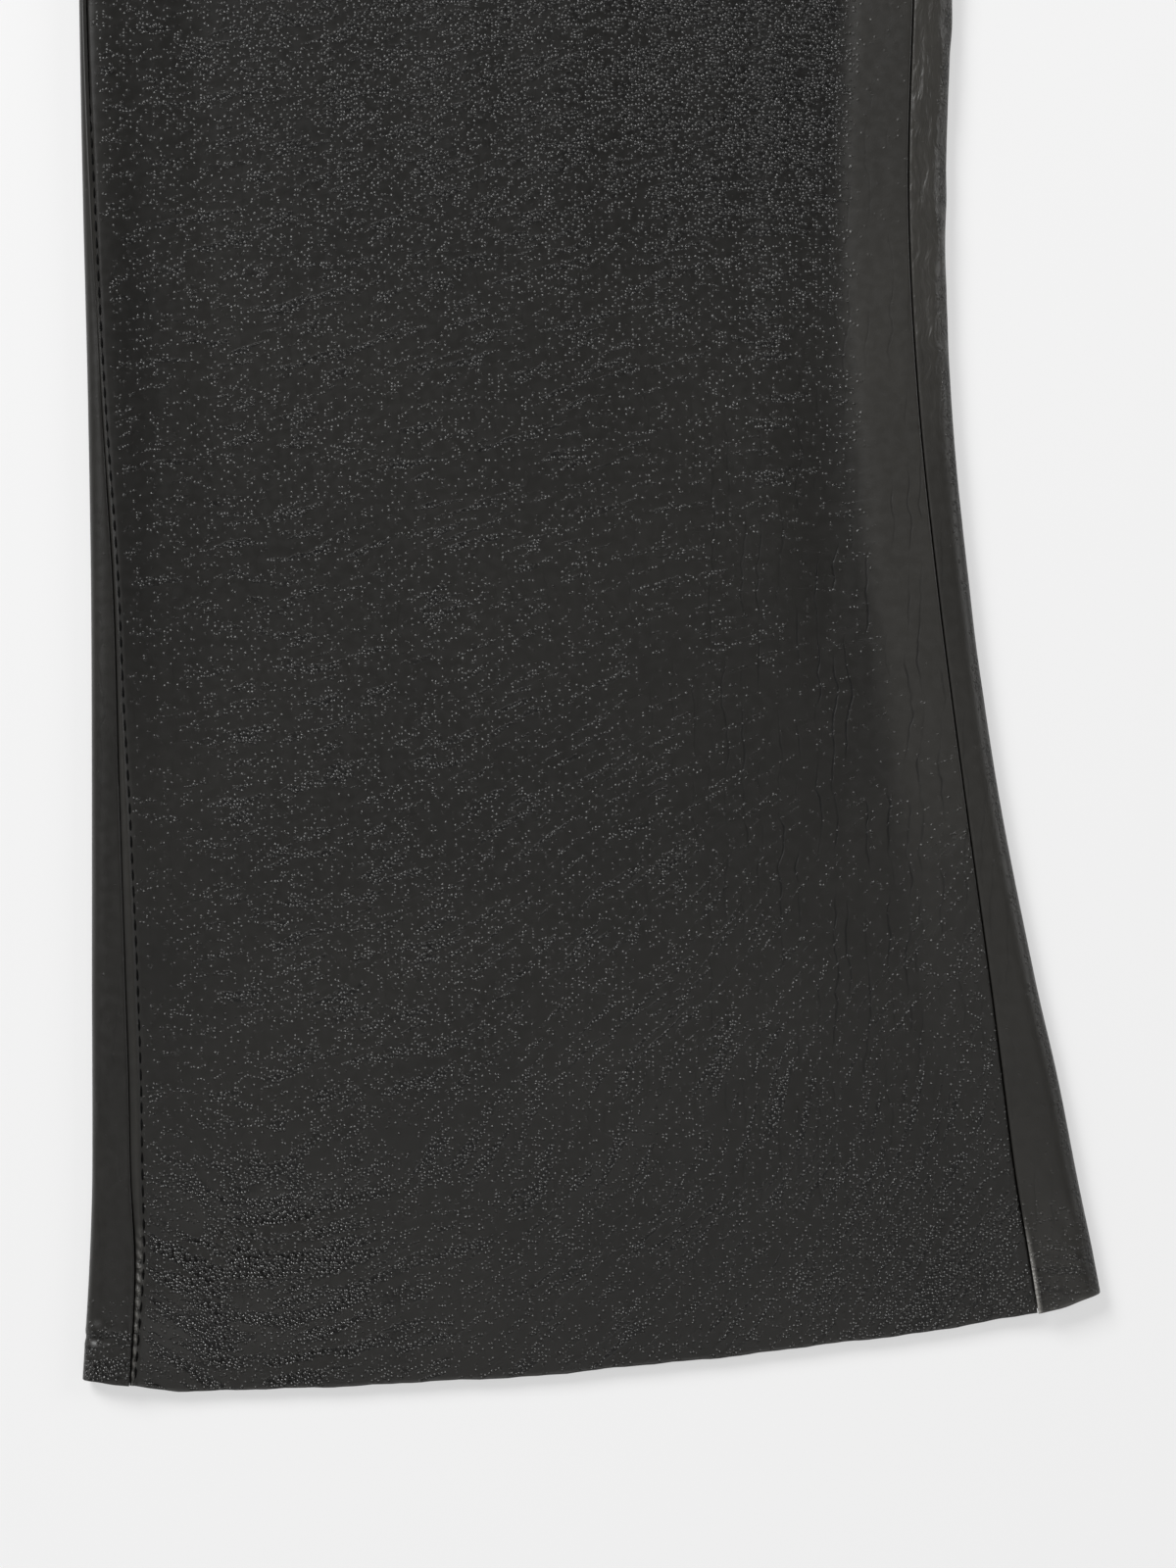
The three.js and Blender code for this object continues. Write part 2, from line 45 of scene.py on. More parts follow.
VIEW_CENTRE = (160.1 * MM, -371.0 * MM)
VIEW_HEIGHT = 384.0 * MM
LENS = 120.0
SENSOR = 36.0
CLOTH_LEVEL = 5.0 * MM


def add_node(tree, kind, inputs=None, **settings):
    """Adds a shader node with its settings, and links or fills its inputs."""
    made = tree.nodes.new(kind)
    for name, value in settings.items():
        setattr(made, name, value)
    for name, value in (inputs or {}).items():
        if isinstance(value, bpy.types.NodeSocket):
            tree.links.new(value, made.inputs[name])
        else:
            made.inputs[name].default_value = value
    return made


def new_finish(name):
    """A material with an empty node tree, and its principled shader and output joined up."""
    finish = bpy.data.materials.new(name)
    finish.use_nodes = True
    tree = finish.node_tree
    tree.nodes.clear()
    shader = add_node(tree, "ShaderNodeBsdfPrincipled")
    add_node(tree, "ShaderNodeOutputMaterial", {"Surface": shader.outputs["BSDF"]})
    return finish, tree, shader


def drop_selection():
    """Leaves nothing selected, so that an operator acts on new pieces only."""
    bpy.ops.object.select_all(action="DESELECT")


drop_selection()
bpy.ops.mesh.primitive_plane_add(size=TABLE_SIZE, location=(0.0, 0.0, 0.0))
table = bpy.context.object
table.name = "table_top"
table_paint, table_tree, table_shader = new_finish("pale_table")
table_shader.inputs["Base Color"].default_value = (0.42, 0.42, 0.42, 1.0)
table_shader.inputs["Roughness"].default_value = 0.9
table_shader.inputs["Specular IOR Level"].default_value = 0.0
table_shader.inputs["Emission Color"].default_value = (1.0, 1.0, 1.0, 1.0)
table_shader.inputs["Emission Strength"].default_value = 0.53
table.data.materials.append(table_paint)


def soft_lamp(name, azimuth, elevation, distance, size, power):
    """A square soft lamp that points at the middle of the view."""
    data = bpy.data.lights.new(name, "AREA")
    data.shape = "SQUARE"
    data.size = size
    data.energy = power
    lamp = bpy.data.objects.new(name, data)
    bpy.context.scene.collection.objects.link(lamp)
    turn, rise = math.radians(azimuth), math.radians(elevation)
    away = Vector((math.cos(turn) * math.cos(rise), math.sin(turn) * math.cos(rise), math.sin(rise)))
    lamp.location = Vector((*VIEW_CENTRE, 0.0)) + away * distance
    lamp.rotation_euler = away.to_track_quat("Z", "Y").to_euler()
    lamp.visible_camera = False
    return lamp


soft_lamp("key_lamp", 133.0, 38.0, 2.6, 1.1, 59.0)
soft_lamp("fill_lamp", 22.0, 30.0, 2.6, 1.1, 12.0)
soft_lamp("front_lamp", -82.0, 58.0, 2.6, 1.4, 9.0)

air = bpy.data.worlds.new("studio_air")
bpy.context.scene.world = air
air.use_nodes = True
air_tree = air.node_tree
air_tree.nodes.clear()
air_way = add_node(air_tree, "ShaderNodeTexCoord")
air_parts = add_node(air_tree, "ShaderNodeSeparateXYZ", {"Vector": air_way.outputs["Generated"]})
air_level = add_node(air_tree, "ShaderNodeMapRange", {
    "Value": air_parts.outputs["Z"], "From Min": 0.0, "From Max": 0.75, "To Min": 0.34, "To Max": 0.06,
}, interpolation_type="SMOOTHSTEP")
air_front = add_node(air_tree, "ShaderNodeMapRange", {
    "Value": air_parts.outputs["Y"], "From Min": 0.16, "From Max": -0.30, "To Min": 0.0, "To Max": 0.17,
}, interpolation_type="SMOOTHSTEP")
air_sum = add_node(air_tree, "ShaderNodeMath", {
    0: air_level.outputs["Result"], 1: air_front.outputs["Result"],
}, operation="ADD")
air_glow = add_node(air_tree, "ShaderNodeBackground", {"Strength": air_sum.outputs["Value"]})
add_node(air_tree, "ShaderNodeOutputWorld", {"Surface": air_glow.outputs["Background"]})

camera_data = bpy.data.cameras.new("camera")
camera_data.lens = LENS
camera_data.sensor_width = SENSOR
camera_data.clip_end = 50.0
camera = bpy.data.objects.new("camera", camera_data)
bpy.context.scene.collection.objects.link(camera)
camera.location = (*VIEW_CENTRE, CLOTH_LEVEL + VIEW_HEIGHT * LENS / SENSOR)
bpy.context.scene.camera = camera
bpy.context.scene.view_settings.view_transform = "Standard"

# Leather for the panels
# Thin black grained hide: fine pebbles, broken rows of raised grain that catch the light, and a brushed
# grey-brown flesh side. Grain runs on each panel's own map, in millimetres of leather.
GRAIN_MAP = "Grain"
PEBBLE_SIZE = 0.82
PEBBLE_REACH = 0.64
PEBBLE_LEAST = 0.21
PEBBLE_MORE = 0.03
PEBBLE_GAP = 0.62
ROW_SPACING = 2.6
ROW_STRETCH = 4.5
GATHER_SPACING = 3.6
GATHER_STRETCH = 5.0
ROW_HEIGHT = 0.05
WRINKLE_SPACING = 4.4
WRINKLE_LENGTH = 34.0
WRINKLE_SWAY = 15.0
WRINKLE_WANDER = 7.0
WRINKLE_WIDTH = 0.45
WRINKLE_DEPTH = 0.09
CRUMPLE_WIDTH = 2.9
CRUMPLE_LENGTH = 11.0
CRUMPLE_HEIGHT = 0.8
LEATHER_LIGHT = (0.0150, 0.0142, 0.0126, 1.0)
# Painted shade: the colour that the hide is darkened towards between standing pebbles and in wrinkle troughs.
LEATHER_PAINTED_SHADE = (0.0034, 0.0032, 0.0029, 1.0)


def maths(tree, operation, first, second=0.0, third=0.0):
    """One sum on shader values."""
    made = tree.nodes.new("ShaderNodeMath")
    made.operation = operation
    for socket, value in zip(made.inputs, (first, second, third)):
        if isinstance(value, bpy.types.NodeSocket):
            tree.links.new(value, socket)
        else:
            socket.default_value = value
    return made.outputs[0]


def ramp(tree, value, low, high, start, end):
    """A soft step of a shader value."""
    made = add_node(tree, "ShaderNodeMapRange", {
        "Value": value, "From Min": low, "From Max": high, "To Min": start, "To Max": end,
    }, interpolation_type="SMOOTHSTEP")
    return made.outputs["Result"]


# Besides grain, some of these measures paint light and shade into the colour.
def mask(tree, name):
    """A panel's own measure of one kind of grain."""
    return add_node(tree, "ShaderNodeAttribute", attribute_name=name).outputs["Fac"]


def noise(tree, place, scale, detail=1.0):
    return add_node(tree, "ShaderNodeTexNoise", {
        "Vector": place, "Scale": scale, "Detail": detail, "Roughness": 0.5,
    })


def pushed(tree, place, scale, amount):
    """The place, pushed about softly by a noise of that scale."""
    wander = noise(tree, place, scale).outputs["Color"]
    centred = add_node(tree, "ShaderNodeVectorMath", {0: wander, 1: (0.5, 0.5, 0.5)}, operation="SUBTRACT")
    pushed_by = add_node(tree, "ShaderNodeVectorMath", {
        0: centred.outputs["Vector"], 1: (amount, amount, 0.0), 2: place,
    }, operation="MULTIPLY_ADD")
    return pushed_by.outputs["Vector"]


def stretched(tree, place, across, along):
    """The place, scaled by its own amount each way."""
    made = add_node(tree, "ShaderNodeVectorMath", {0: place, 1: (across, along, 1.0)}, operation="MULTIPLY")
    return made.outputs["Vector"]


def grained_leather():
    finish, tree, shader = new_finish("black_grained_leather")
    place = add_node(tree, "ShaderNodeUVMap", uv_map=GRAIN_MAP).outputs["UV"]
    own = stretched(tree, add_node(tree, "ShaderNodeTexCoord").outputs["Object"], 1.0 / MM, 1.0 / MM)
    swept = add_node(tree, "ShaderNodeCombineXYZ", {"Y": maths(tree, "MULTIPLY", mask(tree, "sweep"), -1.0)})
    swept = add_node(tree, "ShaderNodeVectorMath", {0: place, 1: swept.outputs["Vector"]}, operation="ADD")
    flow = pushed(tree, pushed(tree, swept.outputs["Vector"], 0.045, 7.0), 0.3, 1.1)

    cells = add_node(tree, "ShaderNodeTexVoronoi", {
        "Vector": pushed(tree, place, 0.35, 0.7), "Scale": 1.0 / PEBBLE_SIZE, "Randomness": 1.0,
    }, voronoi_dimensions="2D")
    distance = cells.outputs["Distance"]
    dome = ramp(tree, distance, 0.0, PEBBLE_REACH, 1.0, 0.0)
    luck = add_node(tree, "ShaderNodeSeparateColor", {"Color": cells.outputs["Color"]})

    rows_place = stretched(tree, flow, 1.0 / (ROW_SPACING * ROW_STRETCH), 1.0 / ROW_SPACING)
    rows = ramp(tree, noise(tree, rows_place, 1.0, 1.5).outputs["Fac"], 0.52, 0.63, 0.0, 1.0)
    gather_place = stretched(tree, flow, 1.0 / (GATHER_SPACING * GATHER_STRETCH), 1.0 / GATHER_SPACING)
    gathers = ramp(tree, noise(tree, gather_place, 1.0, 2.0).outputs["Fac"], 0.44, 0.60, 0.0, 1.0)
    patches = ramp(tree, noise(tree, place, 0.07, 2.0).outputs["Fac"], 0.38, 0.62, 0.35, 1.25)
    rows = maths(tree, "MULTIPLY", rows, patches)
    in_rows = maths(tree, "MULTIPLY", rows, mask(tree, "rows"))
    gathered = maths(tree, "MULTIPLY", gathers, mask(tree, "gather"))
    level = maths(tree, "ADD", maths(tree, "ADD", in_rows, gathered), mask(tree, "pebble"))
    level = maths(tree, "MINIMUM", level, 1.1)
    stands = ramp(tree, maths(tree, "ADD", luck.outputs["Red"], level), 1.0, 1.16, 0.0, 1.0)
    tall = maths(tree, "MULTIPLY_ADD", level, PEBBLE_MORE, PEBBLE_LEAST)
    tall = maths(tree, "MULTIPLY", tall, maths(tree, "MULTIPLY_ADD", luck.outputs["Green"], 0.5, 0.75))
    pebbles = maths(tree, "MULTIPLY", dome, maths(tree, "MULTIPLY", stands, tall))

    sway_place = stretched(tree, own, 1.0 / WRINKLE_LENGTH, 1.0 / WRINKLE_SWAY)
    sway = maths(tree, "MULTIPLY", noise(tree, sway_place, 1.0, 2.5).outputs["Fac"], WRINKLE_WANDER)
    upright = add_node(tree, "ShaderNodeSeparateXYZ", {"Vector": own}).outputs["X"]
    edges = add_node(tree, "ShaderNodeTexVoronoi", {
        "W": maths(tree, "ADD", upright, sway), "Scale": 1.0 / WRINKLE_SPACING, "Randomness": 0.9,
    }, voronoi_dimensions="1D", feature="DISTANCE_TO_EDGE")
    broken_place = stretched(tree, own, 1.0 / WRINKLE_SPACING, 1.0 / WRINKLE_LENGTH)
    broken = ramp(tree, noise(tree, broken_place, 1.0, 1.0).outputs["Fac"], 0.46, 0.58, 0.0, 1.0)
    thin = WRINKLE_WIDTH / WRINKLE_SPACING
    lines = maths(tree, "MULTIPLY", ramp(tree, edges.outputs["Distance"], 0.0, thin, 1.0, 0.0), broken)

    ridges = maths(tree, "MULTIPLY", in_rows, ROW_HEIGHT)
    troughs = maths(tree, "MULTIPLY", lines, maths(tree, "MULTIPLY", mask(tree, "wrinkle"), -WRINKLE_DEPTH))
    fine = maths(tree, "MULTIPLY", noise(tree, place, 2.6, 2.0).outputs["Fac"], 0.022)
    crumple_place = stretched(tree, pushed(tree, own, 0.12, 5.0), 1.0 / CRUMPLE_WIDTH, 1.0 / CRUMPLE_LENGTH)
    crumples = maths(tree, "MULTIPLY", noise(tree, crumple_place, 1.0, 3.0).outputs["Fac"],
                     maths(tree, "MULTIPLY", mask(tree, "crumple"), CRUMPLE_HEIGHT))
    total = maths(tree, "ADD", maths(tree, "ADD", pebbles, ridges), maths(tree, "ADD", troughs, fine))
    total = maths(tree, "ADD", total, crumples)
    bump = add_node(tree, "ShaderNodeBump", {"Height": total, "Strength": 1.0, "Distance": MM})
    tree.links.new(bump.outputs["Normal"], shader.inputs["Normal"])

    # Painted shade: the colour goes darker in the gaps round high pebbles and along the wrinkles' troughs, where
    # shade would fall.
    painted_gap_shade = maths(tree, "MULTIPLY", ramp(tree, distance, 0.22, PEBBLE_GAP, 0.0, 1.0),
                 ramp(tree, level, 0.3, 1.1, 0.0, 0.9))
    depth = maths(tree, "MAXIMUM", painted_gap_shade, maths(tree, "MULTIPLY", lines, mask(tree, "wrinkle")))
    hide = add_node(tree, "ShaderNodeMix", {
        "Factor": depth, "A": LEATHER_LIGHT, "B": LEATHER_PAINTED_SHADE,
    }, data_type="RGBA")
    patina = ramp(tree, noise(tree, place, 0.02, 3.0).outputs["Fac"], 0.3, 0.7, 0.9, 1.12)
    # Painted light and shade: the panel's light measure, varied by a random patina, makes the colour lighter on the
    # rolled strips, the seam band, the ridge at the inseam's foot and the lower left, and darker towards the top and
    # in the inseam's hollow.
    painted_light_hide = add_node(tree, "ShaderNodeHueSaturation", {
        "Value": maths(tree, "MULTIPLY", patina, mask(tree, "painted_light")), "Color": hide.outputs["Result"],
    })
    # The pale grey mixed in here is a painted highlight on the curled seam edge, the strip's hem rim and the twisted
    # ridge at the inseam's foot, and partly the raw hem edge's own lighter colour.
    worn = add_node(tree, "ShaderNodeMix", {
        "Factor": mask(tree, "cut"), "A": painted_light_hide.outputs["Color"], "B": (0.34, 0.33, 0.31, 1.0),
    }, data_type="RGBA")
    tree.links.new(worn.outputs["Result"], shader.inputs["Base Color"])
    gloss = ramp(tree, noise(tree, place, 0.4, 2.0).outputs["Fac"], 0.3, 0.7, 0.34, 0.41)
    gloss = maths(tree, "SUBTRACT", gloss, ramp(tree, gathered, 0.2, 1.5, 0.0, 0.20))
    tree.links.new(gloss, shader.inputs["Roughness"])
    shader.inputs["Specular IOR Level"].default_value = 0.5
    return finish


def brushed_flesh_side():
    finish, tree, shader = new_finish("flesh_side")
    place = add_node(tree, "ShaderNodeTexCoord").outputs["Object"]
    nap = noise(tree, place, 2600.0, 3.0).outputs["Fac"]
    blotch = noise(tree, place, 60.0, 3.0).outputs["Fac"]
    shade = maths(tree, "ADD", maths(tree, "MULTIPLY", nap, 0.5), maths(tree, "MULTIPLY", blotch, 0.5))
    hide = add_node(tree, "ShaderNodeMix", {
        "Factor": shade, "A": (0.018, 0.016, 0.014, 1.0), "B": (0.075, 0.068, 0.06, 1.0),
    }, data_type="RGBA")
    bump = add_node(tree, "ShaderNodeBump", {"Height": nap, "Strength": 0.8, "Distance": 0.12 * MM})
    tree.links.new(hide.outputs["Result"], shader.inputs["Base Color"])
    tree.links.new(bump.outputs["Normal"], shader.inputs["Normal"])
    shader.inputs["Roughness"].default_value = 0.85
    shader.inputs["Sheen Weight"].default_value = 0.2
    return finish


def cut_edge():
    finish, tree, shader = new_finish("raw_cut_edge")
    place = add_node(tree, "ShaderNodeTexCoord").outputs["Object"]
    fibres = noise(tree, place, 3800.0, 3.0).outputs["Fac"]
    hide = add_node(tree, "ShaderNodeMix", {
        "Factor": fibres, "A": (0.012, 0.011, 0.010, 1.0), "B": (0.11, 0.10, 0.088, 1.0),
    }, data_type="RGBA")
    bump = add_node(tree, "ShaderNodeBump", {"Height": fibres, "Strength": 0.9, "Distance": 0.1 * MM})
    tree.links.new(hide.outputs["Result"], shader.inputs["Base Color"])
    tree.links.new(bump.outputs["Normal"], shader.inputs["Normal"])
    shader.inputs["Roughness"].default_value = 0.75
    return finish


black_leather = grained_leather()
flesh_side = brushed_flesh_side()
raw_edge = cut_edge()

# Backs
# Each back is one piece of leather from hem to waist, wider than the front, so that it rolls onto the
# front at both seams. It lies flat on the table, and its hem is cut raw.
LEATHER = 1.1
SEAM_GAP = 0.3
HALF_GAP = SEAM_GAP / 2
HEM_LOW_Y = -520.0
WAIST_SEAM_Y = 472.0
CROTCH_Y = 270.0
CROTCH_BELOW = 14.0
CROTCH_ABOVE = 34.0
FRONT_WAIST_DIP = 10.0
BACK_WAIST_RISE = 8.0
HEM_FADE = 210.0
BACK_HEM_SHORTER = 2.2
WAIST_FADE = 150.0
FOLD_SHAPE = 0.72
FLAT_MARGIN = 12.0
ARC_LEAST = 0.02
SETTLING_ROUNDS = 6
SEAM_ROUND = 0.6
SEAM_DROP = 0.30
CURL_WIDE = 1.3
CURL_LIFT = 0.34
CURL_TOP = -474.0
EDGE_ROUND = 0.4
EDGE_DROP = 0.3
STRIP_REACH = 30.0

# One leg's outline, section by section from the hem to the waist: the inner and outer edges, how far
# the back rolls onto the front at each, and how high the two folds stand. Millimetres.
LEG_SECTIONS = [
    {"y": -525, "inner": 35.6, "outer": 291.0, "roll_in": 11.9, "roll_out": 17.0, "fold_in": 5.6, "fold_out": 6.0},
    {"y": -491, "inner": 37.7, "outer": 284.9, "roll_in": 11.5, "roll_out": 16.1, "fold_in": 5.8, "fold_out": 6.0},
    {"y": -467, "inner": 38.5, "outer": 280.0, "roll_in": 9.7, "roll_out": 15.2, "fold_in": 5.9, "fold_out": 6.1},
    {"y": -443, "inner": 38.5, "outer": 275.3, "roll_in": 9.2, "roll_out": 13.6, "fold_in": 6.0, "fold_out": 6.1},
    {"y": -419, "inner": 38.4, "outer": 269.8, "roll_in": 8.5, "roll_out": 11.2, "fold_in": 6.0, "fold_out": 6.2},
    {"y": -371, "inner": 38.4, "outer": 260.4, "roll_in": 7.0, "roll_out": 8.4, "fold_in": 6.1, "fold_out": 6.2},
    {"y": -323, "inner": 38.2, "outer": 253.7, "roll_in": 5.8, "roll_out": 7.9, "fold_in": 6.1, "fold_out": 6.2},
    {"y": -275, "inner": 37.4, "outer": 249.1, "roll_in": 3.4, "roll_out": 8.2, "fold_in": 6.1, "fold_out": 6.2},
    {"y": -227, "inner": 36.2, "outer": 247.8, "roll_in": 1.9, "roll_out": 9.2, "fold_in": 6.1, "fold_out": 6.3},
    {"y": -179, "inner": 35.3, "outer": 249.4, "roll_in": 1.0, "roll_out": 9.6, "fold_in": 6.1, "fold_out": 6.3},
    {"y": -100, "inner": 34.3, "outer": 251.8, "roll_in": 0.8, "roll_out": 9.6, "fold_in": 6.1, "fold_out": 6.3},
    {"y": 0, "inner": 31.2, "outer": 254.2, "roll_in": 0.8, "roll_out": 9.4, "fold_in": 6.1, "fold_out": 6.3},
    {"y": 90, "inner": 26.0, "outer": 256.4, "roll_in": 0.8, "roll_out": 9.2, "fold_in": 6.0, "fold_out": 6.3},
    {"y": 170, "inner": 18.0, "outer": 257.8, "roll_in": 0.8, "roll_out": 9.0, "fold_in": 5.8, "fold_out": 6.3},
    {"y": 228, "inner": 8.6, "outer": 257.4, "roll_in": 0.8, "roll_out": 9.0, "fold_in": 5.2, "fold_out": 6.3},
    {"y": 256, "inner": 2.4, "outer": 256.0, "roll_in": 0.8, "roll_out": 9.0, "fold_in": 4.6, "fold_out": 6.2},
    {"y": 270, "inner": 0.15, "outer": 254.9, "roll_in": 0.8, "roll_out": 9.0, "fold_in": 4.3, "fold_out": 6.2},
    {"y": 300, "inner": 0.15, "outer": 252.0, "roll_in": 0.8, "roll_out": 9.0, "fold_in": 4.3, "fold_out": 6.1},
    {"y": 350, "inner": 0.15, "outer": 244.8, "roll_in": 0.8, "roll_out": 9.0, "fold_in": 4.3, "fold_out": 6.0},
    {"y": 400, "inner": 0.15, "outer": 233.5, "roll_in": 0.8, "roll_out": 9.0, "fold_in": 4.3, "fold_out": 6.0},
    {"y": 440, "inner": 0.15, "outer": 220.5, "roll_in": 0.8, "roll_out": 9.0, "fold_in": 4.3, "fold_out": 6.0},
    {"y": 474, "inner": 0.15, "outer": 208.5, "roll_in": 0.8, "roll_out": 9.0, "fold_in": 4.3, "fold_out": 6.2},
    {"y": 525, "inner": 0.15, "outer": 197.5, "roll_in": 0.8, "roll_out": 9.0, "fold_in": 4.3, "fold_out": 6.2},
]

# The cut edge at the hem: its height above the lowest point, across the leg from the inner edge.
HEM_LINE = [
    {"across": 0.0, "rise": 2.9},
    {"across": 0.046, "rise": 1.7},
    {"across": 0.104, "rise": 0.1},
    {"across": 0.236, "rise": 1.2},
    {"across": 0.42, "rise": 3.6},
    {"across": 0.581, "rise": 7.4},
    {"across": 0.798, "rise": 13.9},
    {"across": 0.94, "rise": 19.7},
    {"across": 1.0, "rise": 24.2},
]

# Rows of the mesh along the leg: close together in the photographed stretch of the left leg.
ROWS = {
    1: [(-519.8, 0.2), (-519.0, 0.4), (-482.0, 0.66), (-170.0, 1.8), (-110.0, 2.6), (WAIST_SEAM_Y, 4.5)],
    -1: [(-519.8, 0.2), (-519.0, 0.4), (-420.0, 2.6), (WAIST_SEAM_Y, 4.2)],
}


def smooth(low, high, value):
    t = np.clip((value - low) / (high - low), 0.0, 1.0)
    return t * t * (3.0 - 2.0 * t)


def mix(start, end, share):
    return start + (end - start) * share


def through(table, place, column):
    """A smooth curve through one column of a table."""
    at = np.array([row[place] for row in table], float)
    level = np.array([row[column] for row in table], float)
    slope = np.empty_like(level)
    slope[1:-1] = (level[2:] - level[:-2]) / (at[2:] - at[:-2])
    slope[0] = (level[1] - level[0]) / (at[1] - at[0])
    slope[-1] = (level[-1] - level[-2]) / (at[-1] - at[-2])

    def curve(value):
        held = np.clip(value, at[0], at[-1])
        i = np.clip(np.searchsorted(at, held) - 1, 0, len(at) - 2)
        span = at[i + 1] - at[i]
        t = (held - at[i]) / span
        start_part = (2.0 * t - 3.0) * t * t + 1.0
        bend = slope[i] * (1.0 - t) - slope[i + 1] * t
        return level[i] * start_part + level[i + 1] * (1.0 - start_part) + span * t * (1.0 - t) * bend

    return curve


inner_curve = through(LEG_SECTIONS, "y", "inner")
outer_edge = through(LEG_SECTIONS, "y", "outer")
roll_in = through(LEG_SECTIONS, "y", "roll_in")
roll_out = through(LEG_SECTIONS, "y", "roll_out")
fold_in = through(LEG_SECTIONS, "y", "fold_in")
fold_out = through(LEG_SECTIONS, "y", "fold_out")
hem_rise = through(HEM_LINE, "across", "rise")


def inner_edge(y):
    return np.maximum(inner_curve(y), HALF_GAP)


def joined(y):
    """1 where front and back are joined along the inner leg, 0 above the crotch."""
    return 1.0 - smooth(CROTCH_Y - CROTCH_BELOW, CROTCH_Y + CROTCH_ABOVE, y)


def across_leg(x, y):
    return np.clip((x - inner_edge(y)) / (outer_edge(y) - inner_edge(y)), 0.0, 1.0)


def row_height(nominal, across, waist_shift, shorter):
    """Real height of a row at a place across the leg, between the hem's line and the waist seam's."""
    hem = hem_rise(across) + shorter * np.sin(np.pi * across)
    near_hem = 1.0 - smooth(0.0, HEM_FADE, nominal - HEM_LOW_Y)
    near_waist = smooth(WAIST_SEAM_Y - WAIST_FADE, WAIST_SEAM_Y, nominal)
    return nominal + hem * near_hem + waist_shift * (1.0 - across ** 1.5) * near_waist


def stations(start, stretches):
    """Places from a start, as stretches that each have an end and a step."""
    places = [start]
    for end, step in stretches:
        count = max(1, round((end - places[-1]) / step))
        places.extend(np.linspace(places[-1], end, count + 1)[1:])
    return np.array(places)


def rounded_edge(distance, reach, drop):
    """How far a surface turns down at this distance from its edge, as a quarter of an ellipse."""
    near = np.clip(1.0 - distance / reach, 0.0, 1.0)
    return drop * (1.0 - np.sqrt(1.0 - near ** 2))


def hem_wander(x, seed):
    """Small unevenness of a hand-cut edge, along the edge."""
    wander = np.zeros_like(x)
    for part, (length, size) in enumerate([(47.0, 0.16), (19.0, 0.10), (7.3, 0.06)]):
        wander += size * np.sin(2.0 * np.pi * x / length + seed * (part + 1.7))
    return wander


def leather_shell(name, plain, worn, thickness, side, grain, masks, folded=False):
    """A closed wall of leather. Plain is a grid of points in millimetres, worn is how much is off the
    outer side at each, side is +1 or -1 for the way that it faces, grain is its map in millimetres and
    masks are its measures of grain and of painted light and shade. A folded strip is worn on both
    sides and has grain all round."""
    rows, columns = plain.shape[:2]
    facing = side * np.cross(np.gradient(plain, axis=1), np.gradient(plain, axis=0))
    facing /= np.linalg.norm(facing, axis=2, keepdims=True)
    outer = plain - facing * worn[:, :, None]
    inner = plain - facing * (thickness - (worn if folded else 0.0 * worn))[:, :, None]
    points = np.concatenate([outer.reshape(-1, 3), inner.reshape(-1, 3)]) * MM
    points[:, 2] = np.maximum(points[:, 2], 0.0)
    under = rows * columns
    a = (np.arange(rows - 1)[:, None] * columns + np.arange(columns - 1)[None, :]).ravel()
    left = np.arange(rows - 1) * columns
    right = left + columns - 1
    low = np.arange(columns - 1)
    high = low + (rows - 1) * columns
    quads = [
        np.stack([a, a + 1, a + columns + 1, a + columns], 1),
        np.stack([under + a, under + a + columns, under + a + columns + 1, under + a + 1], 1),
        np.stack([left, left + columns, under + left + columns, under + left], 1),
        np.stack([right, under + right, under + right + columns, right + columns], 1),
        np.stack([high, high + 1, under + high + 1, under + high], 1),
        np.stack([low, under + low, under + low + 1, low + 1], 1),
    ]
    slots = np.concatenate([np.full(len(part), 1 if k == 1 else 0) for k, part in enumerate(quads)])
    slots[-len(low):] = 2
    slots = slots * (0 if folded else 1)
    faces = np.concatenate(quads)
    if side < 0:
        faces = faces[:, ::-1]
    mesh = bpy.data.meshes.new(name)
    mesh.vertices.add(len(points))
    mesh.vertices.foreach_set("co", points.ravel())
    mesh.loops.add(faces.size)
    mesh.loops.foreach_set("vertex_index", faces.ravel().astype(np.int32))
    mesh.polygons.add(len(faces))
    mesh.polygons.foreach_set("loop_start", (np.arange(len(faces)) * 4).astype(np.int32))
    mesh.polygons.foreach_set("material_index", slots.astype(np.int32))
    mesh.update(calc_edges=True)
    both = np.concatenate([grain.reshape(-1, 2), grain.reshape(-1, 2)])
    mesh.uv_layers.new(name=GRAIN_MAP).data.foreach_set("uv", both[faces.ravel()].ravel())
    for mask_name, level in masks.items():
        values = np.tile(level.ravel(), 2).astype(np.float32)
        mesh.attributes.new(mask_name, "FLOAT", "POINT").data.foreach_set("value", values)
    for finish in (black_leather, flesh_side, raw_edge):
        mesh.materials.append(finish)
    piece = bpy.data.objects.new(name, mesh)
    bpy.context.scene.collection.objects.link(piece)
    drop_selection()
    piece.select_set(True)
    bpy.context.view_layer.objects.active = piece
    bpy.ops.object.shade_smooth_by_angle(angle=math.radians(48.0))
    return piece


